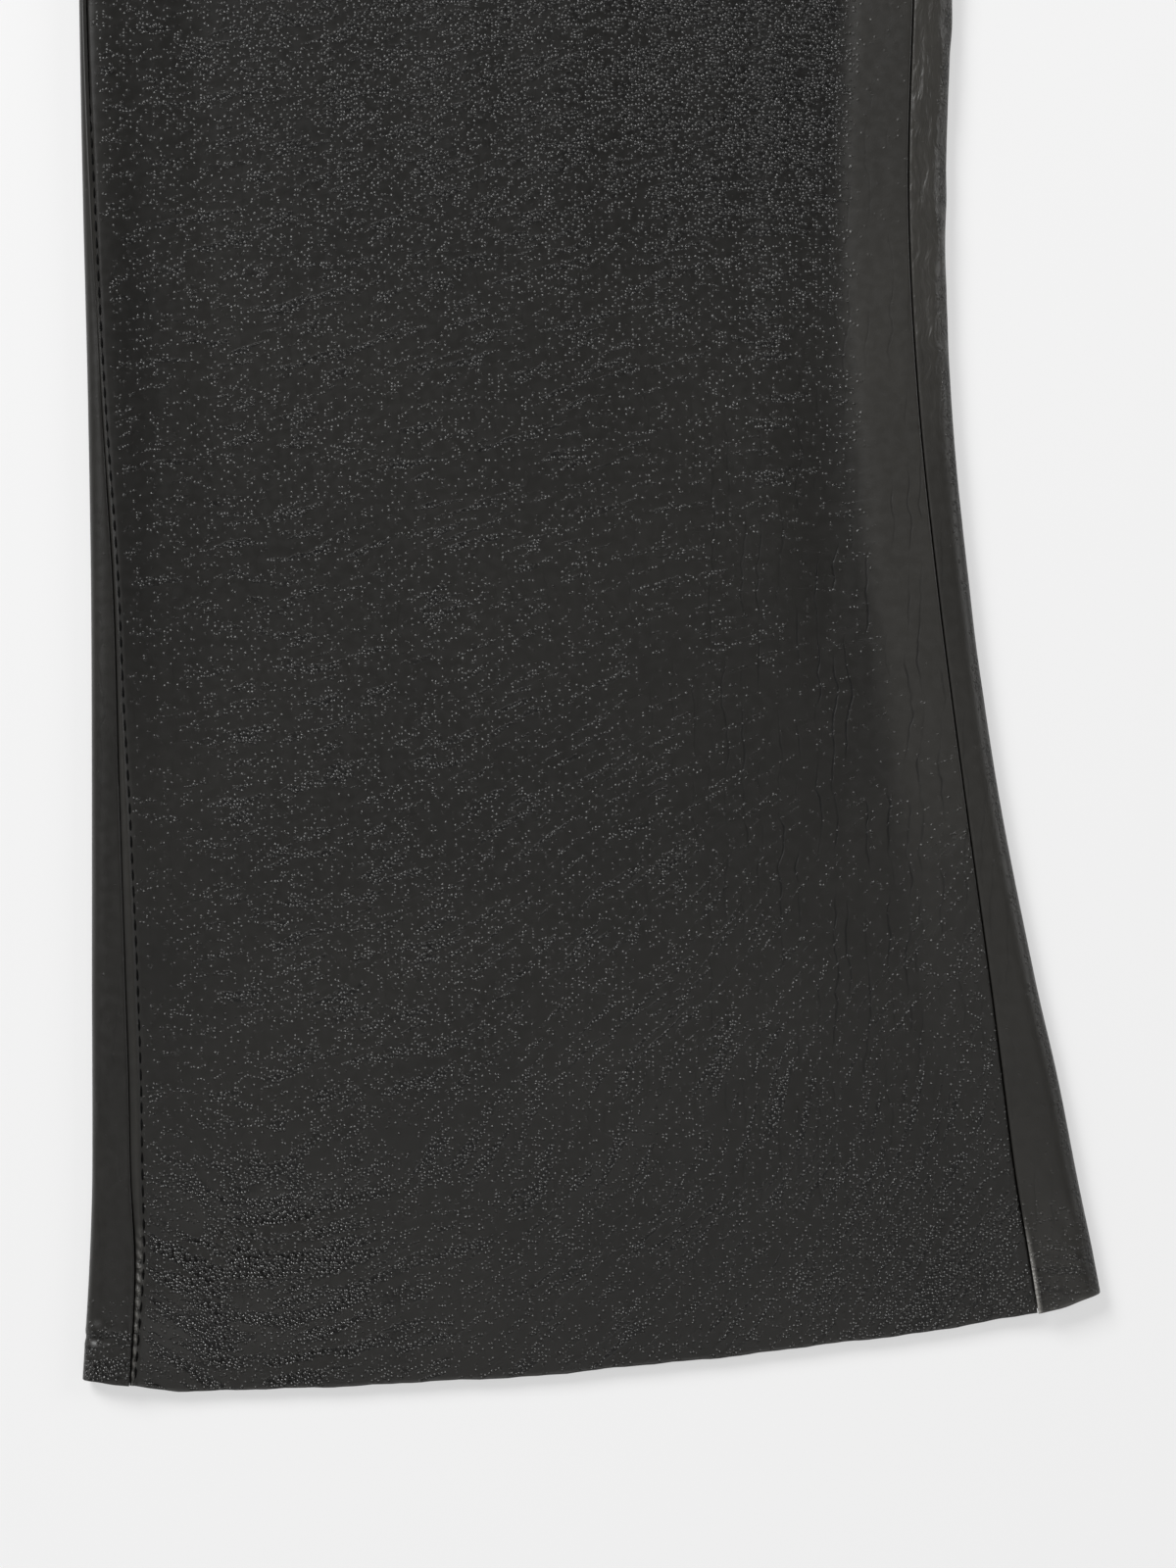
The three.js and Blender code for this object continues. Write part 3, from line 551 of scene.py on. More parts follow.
def fold_path(edge, side, start, height, open_way, share):
    """A place on the back's way round one fold, at a share of the way from its seam to the underside,
    with the length of leather from the seam."""
    reach = FOLD_SHAPE * height
    straight = np.maximum(start - reach, 0.0)
    seam_turn = np.arccos(1.0 - np.minimum(start / reach, 1.0))
    first_turn = mix(np.pi / 2 - seam_turn, np.pi, 1.0 - open_way)
    shift = reach * (1.0 - np.sin(first_turn)) * (1.0 - open_way)
    arc = (reach + height / 2) / 2 * (np.pi - first_turn) + ARC_LEAST
    margin = FLAT_MARGIN * (1.0 - open_way)
    length = share * (straight + arc + margin)
    turned = np.clip((length - straight) / arc, 0.0, 1.0)
    turn = first_turn + turned * (np.pi - first_turn)
    past = np.clip(length - straight - arc, 0.0, None)
    on_arc = length > straight
    x = np.where(on_arc, reach * (1.0 - np.sin(turn)) - shift + past, start - length)
    z = np.where(on_arc, height / 2 * (1.0 + np.cos(turn)), height)
    return edge + side * x, z, length


# Small creases of the rolled strips: which strip, the place from its seam round the fold and
# along the leg, the half length and half width, and the height. The first are the photographed ones.
STRIP_CREASES = [
    {"strip": "out", "from": 3.4, "y": -196, "turn": 91, "half": 9.0, "wide": 1.0, "lift": 0.17},
    {"strip": "out", "from": 5.2, "y": -204, "turn": 84, "half": 11.0, "wide": 1.3, "lift": -0.23},
    {"strip": "out", "from": 7.2, "y": -192, "turn": 95, "half": 8.0, "wide": 1.3, "lift": 0.22},
    {"strip": "out", "from": 8.6, "y": -214, "turn": 86, "half": 10.0, "wide": 1.4, "lift": -0.27},
    {"strip": "out", "from": 3.0, "y": -224, "turn": 72, "half": 6.5, "wide": 0.9, "lift": -0.15},
    {"strip": "out", "from": 6.3, "y": -233, "turn": 97, "half": 9.5, "wide": 1.3, "lift": 0.22},
    {"strip": "out", "from": 9.4, "y": -241, "turn": 88, "half": 9.0, "wide": 1.4, "lift": -0.26},
    {"strip": "out", "from": 4.4, "y": -216, "turn": 12, "half": 2.6, "wide": 0.9, "lift": -0.17},
    {"strip": "out", "from": 5.0, "y": -252, "turn": 82, "half": 8.0, "wide": 1.0, "lift": 0.16},
    {"strip": "out", "from": 8.2, "y": -262, "turn": 94, "half": 9.0, "wide": 1.3, "lift": -0.19},
    {"strip": "out", "from": 4.0, "y": -274, "turn": 78, "half": 7.0, "wide": 1.0, "lift": -0.13},
    {"strip": "out", "from": 10.4, "y": -186, "turn": 80, "half": 7.0, "wide": 1.4, "lift": 0.23},
    {"strip": "out", "from": 11.2, "y": -228, "turn": 98, "half": 8.0, "wide": 1.6, "lift": 0.26},
    {"strip": "out", "from": 7.0, "y": -296, "turn": 86, "half": 12.0, "wide": 1.1, "lift": 0.12},
    {"strip": "out", "from": 8.8, "y": -335, "turn": 92, "half": 15.0, "wide": 1.2, "lift": -0.12},
    {"strip": "out", "from": 8.0, "y": -470, "turn": 70, "half": 9.0, "wide": 1.6, "lift": 0.16},
    {"strip": "out", "from": 12.0, "y": -482, "turn": 118, "half": 10.0, "wide": 1.8, "lift": -0.14},
    {"strip": "in", "from": 9.0, "y": -507, "turn": 8, "half": 6.0, "wide": 1.0, "lift": -0.42},
    {"strip": "in", "from": 8.0, "y": -504, "turn": 6, "half": 5.0, "wide": 1.1, "lift": 0.22},
    {"strip": "in", "from": 4.0, "y": -512, "turn": 52, "half": 4.5, "wide": 1.0, "lift": 0.20},
    {"strip": "in", "from": 6.5, "y": -462, "turn": 80, "half": 18.0, "wide": 1.6, "lift": -0.14},
    {"strip": "in", "from": 5.0, "y": -398, "turn": 92, "half": 22.0, "wide": 1.5, "lift": 0.10},
]
UPPER_STRIP_COUNT = 90
UPPER_STRIP_REACH = (-160.0, 450.0)


def crease_form(rows, x, y):
    """Height of listed creases: each is a soft trough or ridge with low shoulders, uneven in width
    along its length, on a line that sways a little."""
    relief = np.zeros_like(x)
    for row in rows:
        turn = math.radians(row["turn"])
        along = (x - row["x"]) * math.cos(turn) + (y - row["y"]) * math.sin(turn)
        aside = (y - row["y"]) * math.cos(turn) - (x - row["x"]) * math.sin(turn)
        share = along / row["half"]
        near = np.abs(share) < 1.0
        aside = aside + row.get("sway", 0.0) * np.sin(share * 2.6 + row["y"])
        taper = np.where(near, (1.0 - np.minimum(share ** 2, 1.0)) ** 1.4, 0.0)
        wide = row["wide"] * (0.6 + 0.4 * taper)
        middle = np.exp(-(aside / wide) ** 2)
        shoulder = 0.3 * np.exp(-((np.abs(aside) - 2.0 * wide) / (0.9 * wide)) ** 2)
        relief += row["lift"] * taper * (middle - shoulder)
    return relief


def upper_strip_creases(leg):
    """Short crumples on the rolled strips above the photographed stretch, like the ones in it."""
    pick = np.random.default_rng(40 + leg)
    rows = []
    for _ in range(UPPER_STRIP_COUNT):
        rows.append({
            "strip": "out" if pick.random() < 0.62 else "in",
            "from": pick.uniform(2.5, 12.0),
            "y": pick.uniform(*UPPER_STRIP_REACH),
            "turn": pick.normal(89.0, 9.0),
            "half": pick.uniform(6.0, 17.0),
            "wide": pick.uniform(0.9, 1.9),
            "lift": pick.choice([-1.0, 1.0]) * pick.uniform(0.10, 0.26),
        })
    return rows


def strip_relief(leg, strip, length, y):
    rows = STRIP_CREASES + upper_strip_creases(leg)
    placed = [dict(row, x=row["from"]) for row in rows if row["strip"] == strip]
    return crease_form(placed, length, y)


IN_SHARES = np.concatenate([[0.0, 0.02, 0.05, 0.09], np.linspace(0.13, 1.0, 20)])
OUT_SHARES = np.concatenate([[0.0, 0.012, 0.03, 0.055, 0.085], np.linspace(0.115, 1.0, 36)])
UNDER_SHARES = np.linspace(0.0, 1.0, 12)[1:-1]
HEM_SAME = (18.0, 40.0)


def back_grid(leg):
    """Points of one back's outer side with their length round the leg, and its grain and masks."""
    nominal = stations(HEM_LOW_Y, ROWS[leg])[:, None]
    count_in, count_under = len(IN_SHARES), len(UNDER_SHARES)
    shares = np.concatenate([IN_SHARES, UNDER_SHARES, OUT_SHARES[::-1]])[None, :]
    column = np.arange(shares.size)[None, :]
    is_in = column < count_in
    is_under = (column >= count_in) & (column < count_in + count_under)
    y = np.repeat(nominal, shares.size, axis=1)
    for _ in range(SETTLING_ROUNDS):
        inner, outer = inner_edge(y), outer_edge(y)
        x_in, z_in, length_in = fold_path(inner, 1.0, roll_in(y) - HALF_GAP, fold_in(y), joined(y), shares)
        x_out, z_out, length_out = fold_path(outer, -1.0, roll_out(y) - HALF_GAP, fold_out(y), 1.0, shares)
        bottom_start, _, _ = fold_path(inner, 1.0, roll_in(y) - HALF_GAP, fold_in(y), joined(y), 1.0)
        bottom_end = outer - FOLD_SHAPE * fold_out(y)
        x = np.where(is_in, x_in, np.where(is_under, mix(bottom_start, bottom_end, shares), x_out))
        z = np.where(is_in, z_in, np.where(is_under, 0.0, z_out))
        shift = np.where(z > fold_out(y) / 2, -FRONT_WAIST_DIP, BACK_WAIST_RISE)
        shorter = BACK_HEM_SHORTER * smooth(*HEM_SAME, np.minimum(x - inner, outer - x))
        y = row_height(nominal, across_leg(x, y), shift, np.where(z < 0.4, shorter, 0.0))
    near_hem = np.exp(-(nominal - HEM_LOW_Y) / 6.0)
    y = y + near_hem * hem_wander(x, 2.0 + leg)
    length = np.where(is_in, length_in, np.where(is_under, 99.0, length_out))
    points = np.stack([leg * x, y, z], axis=2)
    off_table = smooth(0.5, 1.6, z)
    relief = np.where(is_in, strip_relief(leg, "in", length, y), strip_relief(leg, "out", length, y))
    relief = relief * off_table * np.where(is_under, 0.0, 1.0) * smooth(0.5, 3.0, length)
    curl = CURL_LIFT * np.exp(-(length / CURL_WIDE) ** 2) * (1.0 - smooth(CURL_TOP - 8.0, CURL_TOP + 8.0, y))
    worn = off_table * (rounded_edge(length, SEAM_ROUND, SEAM_DROP) - curl) - relief
    worn = worn + off_table * rounded_edge(nominal - HEM_LOW_Y, EDGE_ROUND, EDGE_DROP)
    around = np.where(is_in, length_in, np.where(is_under, 30.0 + x - bottom_start, 400.0 - length_out))
    grain = np.stack([around, y], axis=2)
    low_in = np.exp(-((y + 512.0) / 9.0) ** 2) * is_in
    low_out = np.exp(-((y + 492.0) / 15.0) ** 2) * ~is_in
    rim = off_table * ~is_in * (1.0 - smooth(0.86, 0.97, z / fold_out(y)))
    crumpled = ~is_in * off_table * smooth(-310.0, -250.0, y)
    painted_edge_highlight = ~is_in * off_table * (1.0 - smooth(0.25, 0.95, length)) * (1.0 - smooth(-493.0, -475.0, y))
    masks = {
        "pebble": 0.03 + 0.35 * low_in + 0.35 * low_out + 0.3 * rim + painted_edge_highlight,
        "rows": 0.02 + 0.3 * low_in + 0.25 * low_out + 0.5 * rim * (0.3 + crumpled),
        "gather": 0.02 + 0.9 * low_in + 0.4 * low_out + 0.3 * rim,
        "wrinkle": 0.2 + 0.0 * x,
        "crumple": crumpled,
        "sweep": 0.0 * x,
        # Painted sheen and highlight: the colour is lighter on the rolled strips, most on the outer one and its
        # crumpled stretch, and at the curled seam edge by the hem; the pale mix adds a painted highlight on that edge
        # and along the outer strip's hem rim.
        "painted_light": 1.0 + np.where(is_in, 0.15, 0.75) * off_table + 1.0 * crumpled + 2.0 * painted_edge_highlight,
        "cut": 0.27 * np.exp(-(nominal - HEM_LOW_Y) / 0.5) * ~is_in * off_table + 0.85 * painted_edge_highlight,
    }
    return points, worn, grain, masks


for leg, wearer_side in ((1, "left"), (-1, "right")):
    points, worn, grain, masks = back_grid(leg)
    back = leather_shell(f"trouser_back_{wearer_side}", points, worn, LEATHER, -leg, grain, masks)
    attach(back, "root")
    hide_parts(f"back_{wearer_side}")

# Fronts
# Each front is one piece that lies on the back from inseam to outseam. The left one carries the fly's
# lap over the right. Its seam allowance is glued open under it beside the outseam, and shows as a band.
PANEL_TOP = 3.7
FOLD_FALL = 26.0
FOLD_CALM = 6.0
CREASE_SHARPNESS = 1.6
ALLOWANCE_WIDTH = 12.0
ALLOWANCE_LIFT = 0.5
ALLOWANCE_EDGE = 5.0
ALLOWANCE_END_LOW = -382.0
ALLOWANCE_END_HIGH = -318.0
FLY_LAP = 8.0
FLY_END_Y = 296.0
FLY_FULL_Y = 326.0
LAP_LIFT = 1.9
LAP_SLOPE = 16.0
LAP_FLAT = 2.0
LAP_START_Y = FLY_END_Y - 22.0

# The largest folds, which the pattern's solids have too: middle, direction from +X in degrees, half
# length, half width and height. Right leg rows count x towards the wearer's right.
FOLDS = {
    1: [
        {"x": 152, "y": -196, "turn": 88, "half": 120, "wide": 22, "lift": 0.7},
        {"x": 205, "y": -230, "turn": 84, "half": 110, "wide": 20, "lift": 0.5},
        {"x": 120, "y": -442, "turn": 20, "half": 90, "wide": 30, "lift": 0.5},
        {"x": 112, "y": -48, "turn": 14, "half": 74, "wide": 18, "lift": 1.5},
        {"x": 172, "y": -4, "turn": -16, "half": 66, "wide": 17, "lift": 1.2},
        {"x": 104, "y": 66, "turn": 62, "half": 96, "wide": 22, "lift": 1.3},
        {"x": 58, "y": 238, "turn": 30, "half": 62, "wide": 15, "lift": 1.9},
        {"x": 92, "y": 302, "turn": 24, "half": 84, "wide": 18, "lift": 1.6},
        {"x": 186, "y": 176, "turn": 78, "half": 96, "wide": 24, "lift": 1.1},
    ],
    -1: [
        {"x": 176, "y": -60, "turn": -12, "half": 72, "wide": 18, "lift": 1.4},
        {"x": 110, "y": -22, "turn": 18, "half": 60, "wide": 16, "lift": 1.1},
        {"x": 150, "y": -250, "turn": 86, "half": 130, "wide": 24, "lift": 0.8},
        {"x": 140, "y": -430, "turn": 28, "half": 84, "wide": 26, "lift": 0.6},
        {"x": 66, "y": 226, "turn": 36, "half": 66, "wide": 16, "lift": 1.8},
        {"x": 98, "y": 312, "turn": 18, "half": 74, "wide": 17, "lift": 1.5},
        {"x": 172, "y": 150, "turn": 96, "half": 104, "wide": 23, "lift": 1.2},
    ],
}

# Creases, listed one by one. The first rows of the left leg are the photographed ones: the dark hollow along the
# inseam, the dips left of the outseam band and the long fine wrinkles of the smooth patch.
CREASES = {
    1: [
        {"x": 50, "y": -262, "turn": 92, "half": 150, "wide": 5.5, "lift": -0.55, "sway": 1.2},
        {"x": 200, "y": -214, "turn": 91, "half": 62, "wide": 4.2, "lift": -0.30, "sway": 0.8},
        {"x": 205, "y": -306, "turn": 94, "half": 48, "wide": 6.5, "lift": 0.28, "sway": 1.5},
        {"x": 218, "y": -300, "turn": 92, "half": 56, "wide": 6.0, "lift": -0.38, "sway": 1.2},
        {"x": 218, "y": -332, "turn": 85, "half": 24, "wide": 1.5, "lift": -0.16, "sway": 0.8},
        {"x": 225, "y": -379, "turn": 84, "half": 33, "wide": 1.6, "lift": -0.18, "sway": 1.6},
        {"x": 229, "y": -397, "turn": 87, "half": 28, "wide": 1.5, "lift": -0.17, "sway": 1.1},
        {"x": 243, "y": -415, "turn": 94, "half": 39, "wide": 1.5, "lift": -0.19, "sway": 1.9},
        {"x": 237, "y": -421, "turn": 95, "half": 20, "wide": 1.4, "lift": -0.15, "sway": 0.9},
        {"x": 128, "y": -200, "turn": 90, "half": 70, "wide": 9.0, "lift": 0.22, "sway": 2.0},
        {"x": 143, "y": -190, "turn": 92, "half": 45, "wide": 6.0, "lift": -0.20, "sway": 1.0},
        {"x": 166, "y": -460, "turn": 52, "half": 46, "wide": 5.0, "lift": 0.20, "sway": 2.2},
        {"x": 188, "y": -448, "turn": 66, "half": 38, "wide": 4.0, "lift": 0.22, "sway": 1.8},
        {"x": 210, "y": -456, "turn": 60, "half": 34, "wide": 4.0, "lift": 0.18, "sway": 1.6},
        {"x": 70, "y": -496, "turn": 12, "half": 34, "wide": 9.0, "lift": 0.42, "sway": 1.4},
        {"x": 84, "y": -476, "turn": 16, "half": 30, "wide": 4.0, "lift": -0.22, "sway": 1.1},
        {"x": 252, "y": -486, "turn": 58, "half": 24, "wide": 5.0, "lift": 0.20, "sway": 1.0},
        {"x": 96, "y": -62, "turn": 17, "half": 58, "wide": 5.0, "lift": -1.0, "sway": 2.6},
        {"x": 128, "y": -34, "turn": 11, "half": 62, "wide": 5.5, "lift": 0.9, "sway": 2.0},
        {"x": 166, "y": -26, "turn": -14, "half": 52, "wide": 4.5, "lift": -0.9, "sway": 1.8},
        {"x": 190, "y": -10, "turn": -22, "half": 44, "wide": 4.5, "lift": 0.8, "sway": 1.4},
        {"x": 88, "y": -14, "turn": 24, "half": 40, "wide": 4.0, "lift": -0.7, "sway": 1.6},
        {"x": 142, "y": 14, "turn": 4, "half": 46, "wide": 5.0, "lift": -0.7, "sway": 2.2},
        {"x": 206, "y": -78, "turn": -38, "half": 36, "wide": 4.0, "lift": 0.5, "sway": 1.2},
        {"x": 64, "y": -96, "turn": 36, "half": 34, "wide": 4.0, "lift": 0.5, "sway": 1.2},
        {"x": 84, "y": 58, "turn": 58, "half": 62, "wide": 5.5, "lift": -0.8, "sway": 2.4},
        {"x": 122, "y": 92, "turn": 68, "half": 58, "wide": 6.0, "lift": 0.6, "sway": 2.0},
        {"x": 150, "y": 120, "turn": 76, "half": 64, "wide": 6.5, "lift": -0.6, "sway": 2.4},
        {"x": 212, "y": 64, "turn": 98, "half": 66, "wide": 6.0, "lift": -0.5, "sway": 1.8},
        {"x": 48, "y": 214, "turn": 34, "half": 48, "wide": 4.5, "lift": -1.2, "sway": 1.8},
        {"x": 72, "y": 262, "turn": 26, "half": 58, "wide": 4.5, "lift": -1.1, "sway": 2.0},
        {"x": 60, "y": 286, "turn": 21, "half": 50, "wide": 4.0, "lift": 0.8, "sway": 1.4},
        {"x": 112, "y": 326, "turn": 20, "half": 62, "wide": 5.0, "lift": -0.9, "sway": 2.2},
        {"x": 96, "y": 350, "turn": 14, "half": 48, "wide": 5.0, "lift": 0.6, "sway": 1.6},
        {"x": 140, "y": 226, "turn": 44, "half": 54, "wide": 6.0, "lift": -0.6, "sway": 2.4},
        {"x": 196, "y": 246, "turn": 72, "half": 58, "wide": 6.0, "lift": -0.5, "sway": 1.8},
        {"x": 170, "y": 392, "turn": -8, "half": 44, "wide": 5.5, "lift": -0.5, "sway": 1.4},
        {"x": 60, "y": 404, "turn": 8, "half": 36, "wide": 5.0, "lift": 0.4, "sway": 1.2},
    ],
    -1: [
        {"x": 52, "y": -300, "turn": 92, "half": 170, "wide": 6.0, "lift": -0.50, "sway": 1.4},
        {"x": 206, "y": -270, "turn": 92, "half": 90, "wide": 6.0, "lift": -0.40, "sway": 1.6},
        {"x": 120, "y": -330, "turn": 84, "half": 80, "wide": 8.0, "lift": 0.35, "sway": 2.4},
        {"x": 166, "y": -466, "turn": 40, "half": 48, "wide": 6.0, "lift": 0.30, "sway": 2.0},
        {"x": 226, "y": -440, "turn": 70, "half": 44, "wide": 5.0, "lift": -0.26, "sway": 1.6},
        {"x": 84, "y": -486, "turn": 10, "half": 40, "wide": 7.0, "lift": 0.38, "sway": 1.6},
        {"x": 160, "y": -82, "turn": -10, "half": 58, "wide": 5.0, "lift": -1.0, "sway": 2.2},
        {"x": 188, "y": -50, "turn": -18, "half": 50, "wide": 5.0, "lift": 0.8, "sway": 1.8},
        {"x": 120, "y": -40, "turn": 16, "half": 54, "wide": 4.5, "lift": -0.9, "sway": 2.0},
        {"x": 92, "y": -6, "turn": 26, "half": 42, "wide": 4.5, "lift": 0.8, "sway": 1.4},
        {"x": 150, "y": -8, "turn": 2, "half": 48, "wide": 5.0, "lift": -0.7, "sway": 2.4},
        {"x": 208, "y": -104, "turn": -42, "half": 34, "wide": 4.0, "lift": -0.5, "sway": 1.2},
        {"x": 70, "y": -84, "turn": 40, "half": 36, "wide": 4.0, "lift": 0.5, "sway": 1.2},
        {"x": 82, "y": 84, "turn": 64, "half": 64, "wide": 5.5, "lift": -0.7, "sway": 2.0},
        {"x": 126, "y": 70, "turn": 80, "half": 66, "wide": 6.5, "lift": 0.5, "sway": 2.2},
        {"x": 214, "y": 96, "turn": 96, "half": 70, "wide": 6.0, "lift": -0.5, "sway": 1.8},
        {"x": 50, "y": 206, "turn": 40, "half": 46, "wide": 4.5, "lift": -1.1, "sway": 1.6},
        {"x": 78, "y": 256, "turn": 30, "half": 60, "wide": 4.5, "lift": -1.1, "sway": 2.0},
        {"x": 68, "y": 282, "turn": 22, "half": 46, "wide": 4.0, "lift": 0.7, "sway": 1.4},
        {"x": 120, "y": 338, "turn": 14, "half": 58, "wide": 5.0, "lift": -0.8, "sway": 2.0},
        {"x": 140, "y": 214, "turn": 52, "half": 56, "wide": 6.0, "lift": -0.6, "sway": 2.2},
        {"x": 192, "y": 262, "turn": 66, "half": 54, "wide": 6.0, "lift": 0.5, "sway": 1.8},
        {"x": 160, "y": 398, "turn": -12, "half": 46, "wide": 5.5, "lift": -0.5, "sway": 1.4},
    ],
}

# Topstitching beside the inseam: its distance from the seam along the leg.
TOPSTITCH_LINE = [
    {"y": -525, "from_seam": 1.0},
    {"y": -503, "from_seam": 1.5},
    {"y": -484, "from_seam": 2.3},
    {"y": -467, "from_seam": 2.8},
    {"y": -419, "from_seam": 2.9},
    {"y": -395, "from_seam": 2.6},
    {"y": -371, "from_seam": 2.2},
    {"y": -347, "from_seam": 1.4},
    {"y": -323, "from_seam": 1.2},
    {"y": -275, "from_seam": 1.0},
    {"y": -227, "from_seam": 1.2},
    {"y": -179, "from_seam": 0.8},
    {"y": 256, "from_seam": 1.0},
]
GROOVE_WIDE = 0.42
GROOVE_DEEP = 0.34
STITCH_PITCH = 4.1
PUCKER_DEEP = 0.10
INSEAM_ROUND = 1.2
INSEAM_DROP = 0.45
PIPING_LIFT = 0.24
ROPE_TOP = -482.0
ROPE_PITCH = 3.0
ROPE_DEEP = 0.20
# Strength of the pale highlight painted on the twisted ridge.
ROPE_PAINTED_HIGHLIGHT = 0.42
stitch_distance = through(TOPSTITCH_LINE, "y", "from_seam")


def fold_lift(leg, x, y):
    lift = np.zeros_like(x)
    for fold in FOLDS[leg]:
        turn = math.radians(fold["turn"])
        along = (x - fold["x"]) * math.cos(turn) + (y - fold["y"]) * math.sin(turn)
        aside = (y - fold["y"]) * math.cos(turn) - (x - fold["x"]) * math.sin(turn)
        lift += fold["lift"] * np.exp(-CREASE_SHARPNESS * ((along / fold["half"]) ** 2 + (aside / fold["wide"]) ** 2))
    return lift


def lap_lift(x, y):
    return LAP_LIFT * (1.0 - smooth(LAP_FLAT, LAP_SLOPE, x)) * smooth(LAP_START_Y, FLY_END_Y, y)


def seam_in(y):
    """Where a front meets the back at the inner leg, or the other front above the crotch."""
    return inner_edge(y) + mix(0.0, roll_in(y), joined(y))


def front_start(leg, y):
    lap = smooth(FLY_END_Y, FLY_FULL_Y, y) * (FLY_LAP + HALF_GAP)
    return seam_in(y) - lap if leg > 0 else seam_in(y)


def front_end(y):
    return outer_edge(y) - roll_out(y) - HALF_GAP


def front_surface(leg, x, y):
    """Height of a front's upper side, with its folds and creases."""
    inner, outer = inner_edge(y), outer_edge(y)
    round_in, round_out = FOLD_SHAPE * fold_in(y), FOLD_SHAPE * fold_out(y)
    from_in, from_out = x - inner - round_in, outer - round_out - x
    near_in = joined(y) * (1.0 - smooth(0.0, FOLD_FALL, from_in))
    near_out = 1.0 - smooth(0.0, FOLD_FALL, from_out)
    from_seam = outer - roll_out(y) - x
    shrunk = ALLOWANCE_WIDTH * smooth(ALLOWANCE_END_LOW, ALLOWANCE_END_HIGH, y)
    allowance = ALLOWANCE_LIFT * (1.0 - smooth(shrunk, shrunk + ALLOWANCE_EDGE, from_seam))
    allowance = allowance * smooth(ALLOWANCE_END_LOW, ALLOWANCE_END_HIGH, y)
    calm = smooth(0.0, FOLD_FALL, from_in + FOLD_CALM * joined(y)) * smooth(0.0, FOLD_FALL, from_out)
    z = PANEL_TOP + (fold_in(y) - PANEL_TOP) * near_in + (fold_out(y) - PANEL_TOP) * near_out
    z = z + allowance * smooth(0.0, FOLD_FALL, from_out) + calm * fold_lift(leg, x, y)
    reach = np.clip(-from_in / round_in, 0.0, 1.0)
    z = z - joined(y) * fold_in(y) / 2 * (1.0 - np.sqrt(1.0 - reach ** 2))
    z = z + crease_form(CREASES[leg], x, y) * smooth(0.0, 7.0, from_in + 3.0) * smooth(0.0, 5.0, from_seam)
    return z + (lap_lift(x, y) if leg > 0 else 0.0)


def rope_strands(y, from_seam):
    """How high the twisted ridge beside the inseam's foot stands at a place, from 0 to 1."""
    return 0.5 + 0.5 * np.sin(2.0 * np.pi * (y + 0.9 * from_seam) / ROPE_PITCH)


def front_worn(leg, x, y):
    """How much is off a front's upper side at its seams and in the groove of its topstitching."""
    worn = rounded_edge(front_end(y) - x, SEAM_ROUND, SEAM_DROP)
    from_seam, line = x - seam_in(y), stitch_distance(y)
    worn = worn + mix(rounded_edge(x - front_start(leg, y), SEAM_ROUND, SEAM_DROP),
                      rounded_edge(from_seam, INSEAM_ROUND, INSEAM_DROP), joined(y))
    pucker = 1.0 + PUCKER_DEEP / GROOVE_DEEP * np.cos(2.0 * np.pi * (y - HEM_LOW_Y) / STITCH_PITCH)
    groove = GROOVE_DEEP * pucker * np.exp(-((from_seam - line) / GROOVE_WIDE) ** 2)
    rope = 1.0 - smooth(ROPE_TOP - 10.0, ROPE_TOP + 6.0, y)
    twist = ROPE_DEEP * rope * (2.0 * rope_strands(y, from_seam) - 1.0)
    piping = PIPING_LIFT * (1.0 + 0.8 * rope) * np.exp(-((from_seam - 0.6 * line) / (0.36 * line)) ** 2)
    piping = piping * (1.0 + twist / PIPING_LIFT)
    return worn + (groove - piping) * joined(y)


# Measures of grain on the left front: middle, half sizes, and how much more or less pebble,
# raised rows and fine wrinkles it has there.
# The last column is painted light and shade: how much lighter or darker the colour is made where that part of the leg
# would catch more light or lie in shade.
GRAIN_PATCHES = [
    {"x": 208, "y": -190, "across": 42, "along": 52, "pebble": 0.45, "rows": 0.3, "gather": 0.5, "painted_light": -0.40},
    {"x": 120, "y": -190, "across": 60, "along": 50, "pebble": 0.22, "rows": 0.2, "gather": 0.3, "painted_light": -0.28},
    {"x": 72, "y": -497, "across": 32, "along": 27, "pebble": 0.16, "rows": 0.1, "gather": 2.1, "painted_light": 0.26},
    {"x": 110, "y": -440, "across": 40, "along": 60, "pebble": 0.00, "rows": 0.1, "gather": 0.3, "painted_light": 0.08},
    {"x": 196, "y": -455, "across": 42, "along": 38, "pebble": 0.00, "rows": 0.3, "gather": 0.1, "painted_light": 0.04},
    {"x": 246, "y": -494, "across": 34, "along": 22, "pebble": 0.25, "rows": 0.5, "gather": 0.5, "painted_light": 0.00},
    {"x": 222, "y": -370, "across": 30, "along": 78, "pebble": -0.12, "rows": -0.5, "gather": -0.1, "painted_light": 0.10},
    {"x": 180, "y": -330, "across": 26, "along": 48, "pebble": -0.05, "rows": -0.2, "gather": -0.1, "painted_light": 0.00},
    {"x": 58, "y": -400, "across": 12, "along": 70, "pebble": -0.08, "rows": -0.4, "gather": 0.0, "painted_light": 0.10},
    {"x": 50, "y": -262, "across": 8, "along": 100, "pebble": -0.05, "rows": -0.1, "gather": 0.0, "painted_light": -0.28},
]
BASE_PEBBLE = 0.19
BASE_ROWS = 0.70
BASE_GATHER = 0.06
BASE_WRINKLE = 0.12
# How much lighter the ridge beside the inseam is painted, as a painted highlight.
PIPING_PAINTED_HIGHLIGHT = 0.8
SMOOTH_PATCH = {"x": 222, "y": -370, "across": 30, "along": 78}
BAND_SMOOTH = 18.0
# How much lighter the seam band is painted, as a painted sheen.
BAND_PAINTED_SHEEN = 1.2


def near_patch(patch, x, y):
    return np.exp(-((x - patch["x"]) / patch["across"]) ** 2 - ((y - patch["y"]) / patch["along"]) ** 2)


